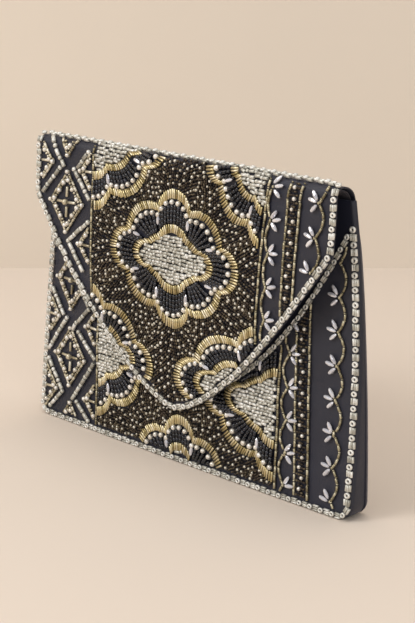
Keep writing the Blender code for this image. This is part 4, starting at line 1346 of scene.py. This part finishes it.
class CLUTCH_OT_vines(bpy.types.Operator):
    """Sew the rails, the braid between them and the two scalloped vines with cut-stone leaves"""

    bl_idname = "clutch.vines"
    bl_label = "Rails and vines"

    def execute(self, context):
        seed = context.scene.clutch_sizes.seed / MM
        for chart in ("flap", "front"):
            rails, vines, leaves = Strings(chart, 51), Strings(chart, 52), Strings(chart, 53)
            seeds, pearls = Strings(chart, 54), Strings(chart, 55)
            flap = chart == "flap"
            low, high = (30.0, FLAP_CREST) if flap else (4.0, 175.0)
            left = FLAP_BAND_LEFT if flap else FRONT_BAND[0]
            bugle_line(rails, [(left, low), (left, high)])
            bugle_line(rails, [(float(band_right(chart, v)), v) for v in np.linspace(low, high, 24)])
            knots, *ends = RAILS[chart]
            for places in ends:
                line = [(float(np.interp(v, knots, places)), v) for v in np.linspace(low, high, 24)]
                bugle_line(rails, line)
            for k in range(int((high - low) / (seed + BEAD_GAP))):
                v = low + k * (seed + BEAD_GAP)
                inner, outer = (np.interp(v, knots, places) for places in ends)
                middle, span = (inner + outer) / 2, outer - inner - 2.6
                for lane in BRAID_LANES:
                    u = middle + lane * span / 4
                    if k % 3 == 0 and lane == (-0.5 if k % 6 else 0.5):
                        pearls.sew("pearl", u, v, 0.0, BRAID_PEARL, BRAID_PEARL)
                    elif abs(lane) < 1.0 or k % 2:
                        seeds.sew("seed", u, v, math.pi / 2, seed, seed)
            for foot, lean, bow, start, pitch, count, side in VINES[chart]:
                cusps = [(foot + lean * v, v) for v in start + pitch * np.arange(-1, count)]
                bugle_line(vines, vine_path(cusps, side, bow), 3.0, 1.5, 1.1)
                for u, v in cusps:
                    leaf_spray(leaves, vines, u, v, side)

            def area(u, v, chart=chart):
                return in_area(chart, u, v)

            def leaf_area(u, v, chart=chart):
                return in_area(chart, u, v, TRIM_CLEAR + 1.0)

            piece = rails.make(f"{chart}_rails", "old_gold", area, sway=1.5)
            settle(piece, chart, "gold_beads", f"{chart}_rail_left", f"{chart}_rail_right")
            settle(vines.make(f"{chart}_vines", "old_gold", area), chart, "gold_beads")
            piece = leaves.make(f"{chart}_leaves", "crystal", leaf_area)
            settle(piece, chart, "crystal", f"{chart}_vine_inner", f"{chart}_vine_outer")
            piece = seeds.make(f"{chart}_braid_seeds", "bronze", area)
            settle(piece, chart, "bronze_beads", f"{chart}_braid")
            settle(pearls.make(f"{chart}_braid_pearls", "pearl", area), chart, "silver_beads")
        return {"FINISHED"}


class CLUTCH_OT_lattice(bpy.types.Operator):
    """Sew the left band: gold diamonds between silver chevrons"""

    bl_idname = "clutch.lattice"
    bl_label = "Diamond lattice"

    def execute(self, context):
        for chart in ("flap", "front"):
            gold, pearls, bars = (Strings(chart, 61 + k) for k in range(3))
            inner = FLAP_BAND_LEFT if chart == "flap" else FRONT_BAND[0]
            whole, halves, lines = LATTICES[chart]
            for u, v in whole:
                diamond_motif(gold, pearls, u, v, *DIAMOND_HALF)
            for u, v in halves:
                diamond_motif(gold, pearls, u, v, *HALF_DIAMOND_HALF)
            for line in lines:
                chevron_line(bars, line)

            def keep(u, v, chart=chart, inner=inner):
                return in_area(chart, u, v, TRIM_CLEAR - 0.6) & (u < inner - 1.8)

            piece = gold.make(f"{chart}_diamonds", "champagne", keep)
            settle(piece, chart, "gold_beads", f"{chart}_diamond")
            settle(pearls.make(f"{chart}_diamond_pearls", "pearl", keep), chart, "silver_beads")
            nodes = ["flap_chevron_inner"]
            if chart == "front":
                nodes = [f"front_chevron_{side}_{k}" for side in ("outer", "inner") for k in (1, 2)]
            piece = bars.make(f"{chart}_chevrons", "silver", keep)
            settle(piece, chart, "silver_beads", *nodes)
        return {"FINISHED"}


class CLUTCH_OT_stage(bpy.types.Operator):
    """Set the plain floor and wall, the soft lights and the camera"""

    bl_idname = "clutch.stage"
    bl_label = "Stage"

    def execute(self, context):
        colours = context.scene.clutch_colours
        turn, rise = math.radians(CAMERA_TURN), math.radians(CAMERA_RISE)
        flat = math.cos(rise)
        back = Vector((math.sin(turn) * flat, -math.cos(turn) * flat, math.sin(rise)))
        data = bpy.data.cameras.new("camera")
        data.lens = CAMERA_LENS
        camera = bpy.data.objects.new("camera", data)
        camera.location = Vector(CAMERA_TARGET) + back * CAMERA_REACH
        camera.rotation_mode = "QUATERNION"
        camera.rotation_quaternion = (-back).to_track_quat("-Z", "Y")
        context.scene.collection.objects.link(camera)
        context.scene.camera = camera
        deselect()
        bpy.ops.mesh.primitive_plane_add(size=12.0, location=(0.0, 0.0, -0.0001))
        floor = bpy.context.object
        floor.name = "floor"
        floor.data.materials.append(stage_material("clutch_floor", colours.floor))
        level = Vector((back.x, back.y, 0.0)).normalized()
        deselect()
        bpy.ops.mesh.primitive_plane_add(size=6.0, rotation=(math.pi / 2, 0.0, turn))
        wall = bpy.context.object
        wall.name = "wall"
        wall.location = -level * WALL_BEHIND + Vector((0.0, 0.0, 2.9))
        wall.data.materials.append(stage_material("clutch_wall", colours.wall, one_sided=True))
        for name, place, size, power, colour in LIGHTS:
            lamp = bpy.data.lights.new(name, "AREA")
            lamp.shape = "DISK"
            lamp.size, lamp.energy, lamp.color = size, power, colour
            light = bpy.data.objects.new(name, lamp)
            light.location = place
            aim = Vector((0.0, 0.0, 0.09)) - light.location
            light.rotation_mode = "QUATERNION"
            light.rotation_quaternion = aim.to_track_quat("-Z", "Y")
            context.scene.collection.objects.link(light)
        world = bpy.data.worlds.new("studio")
        world.use_nodes = True
        world.node_tree.nodes["Background"].inputs[0].default_value = (0.92, 0.9, 0.88, 1.0)
        world.node_tree.nodes["Background"].inputs[1].default_value = 0.55
        context.scene.world = world
        context.scene.view_settings.view_transform = "Standard"
        return {"FINISHED"}


class CLUTCH_PT_panel(bpy.types.Panel):
    """Clutch settings and steps"""

    bl_idname = "CLUTCH_PT_panel"
    bl_label = "Beaded clutch"
    bl_space_type = "VIEW_3D"
    bl_region_type = "UI"
    bl_category = "Clutch"

    def draw(self, context):
        layout = self.layout
        for group in (context.scene.clutch_sizes, context.scene.clutch_colours):
            for name in group.__annotations__:
                layout.prop(group, name)
        for step in STEPS:
            layout.operator(step.bl_idname)


STEPS = (
    CLUTCH_OT_shell,
    CLUTCH_OT_linings,
    CLUTCH_OT_hardware,
    CLUTCH_OT_trims,
    CLUTCH_OT_medallions,
    CLUTCH_OT_ground,
    CLUTCH_OT_vines,
    CLUTCH_OT_lattice,
    CLUTCH_OT_stage,
)
CLASSES = (ClutchColours, ClutchSizes, *STEPS, CLUTCH_PT_panel)


def register():
    for cls in CLASSES:
        bpy.utils.register_class(cls)
    bpy.types.Scene.clutch_colours = bpy.props.PointerProperty(type=ClutchColours)
    bpy.types.Scene.clutch_sizes = bpy.props.PointerProperty(type=ClutchSizes)


def unregister():
    del bpy.types.Scene.clutch_sizes
    del bpy.types.Scene.clutch_colours
    for cls in reversed(CLASSES):
        bpy.utils.unregister_class(cls)


def main():
    register()
    for step in STEPS:
        group, name = step.bl_idname.split(".")
        getattr(getattr(bpy.ops, group), name)()
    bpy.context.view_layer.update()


if __name__ == "__main__":
    main()
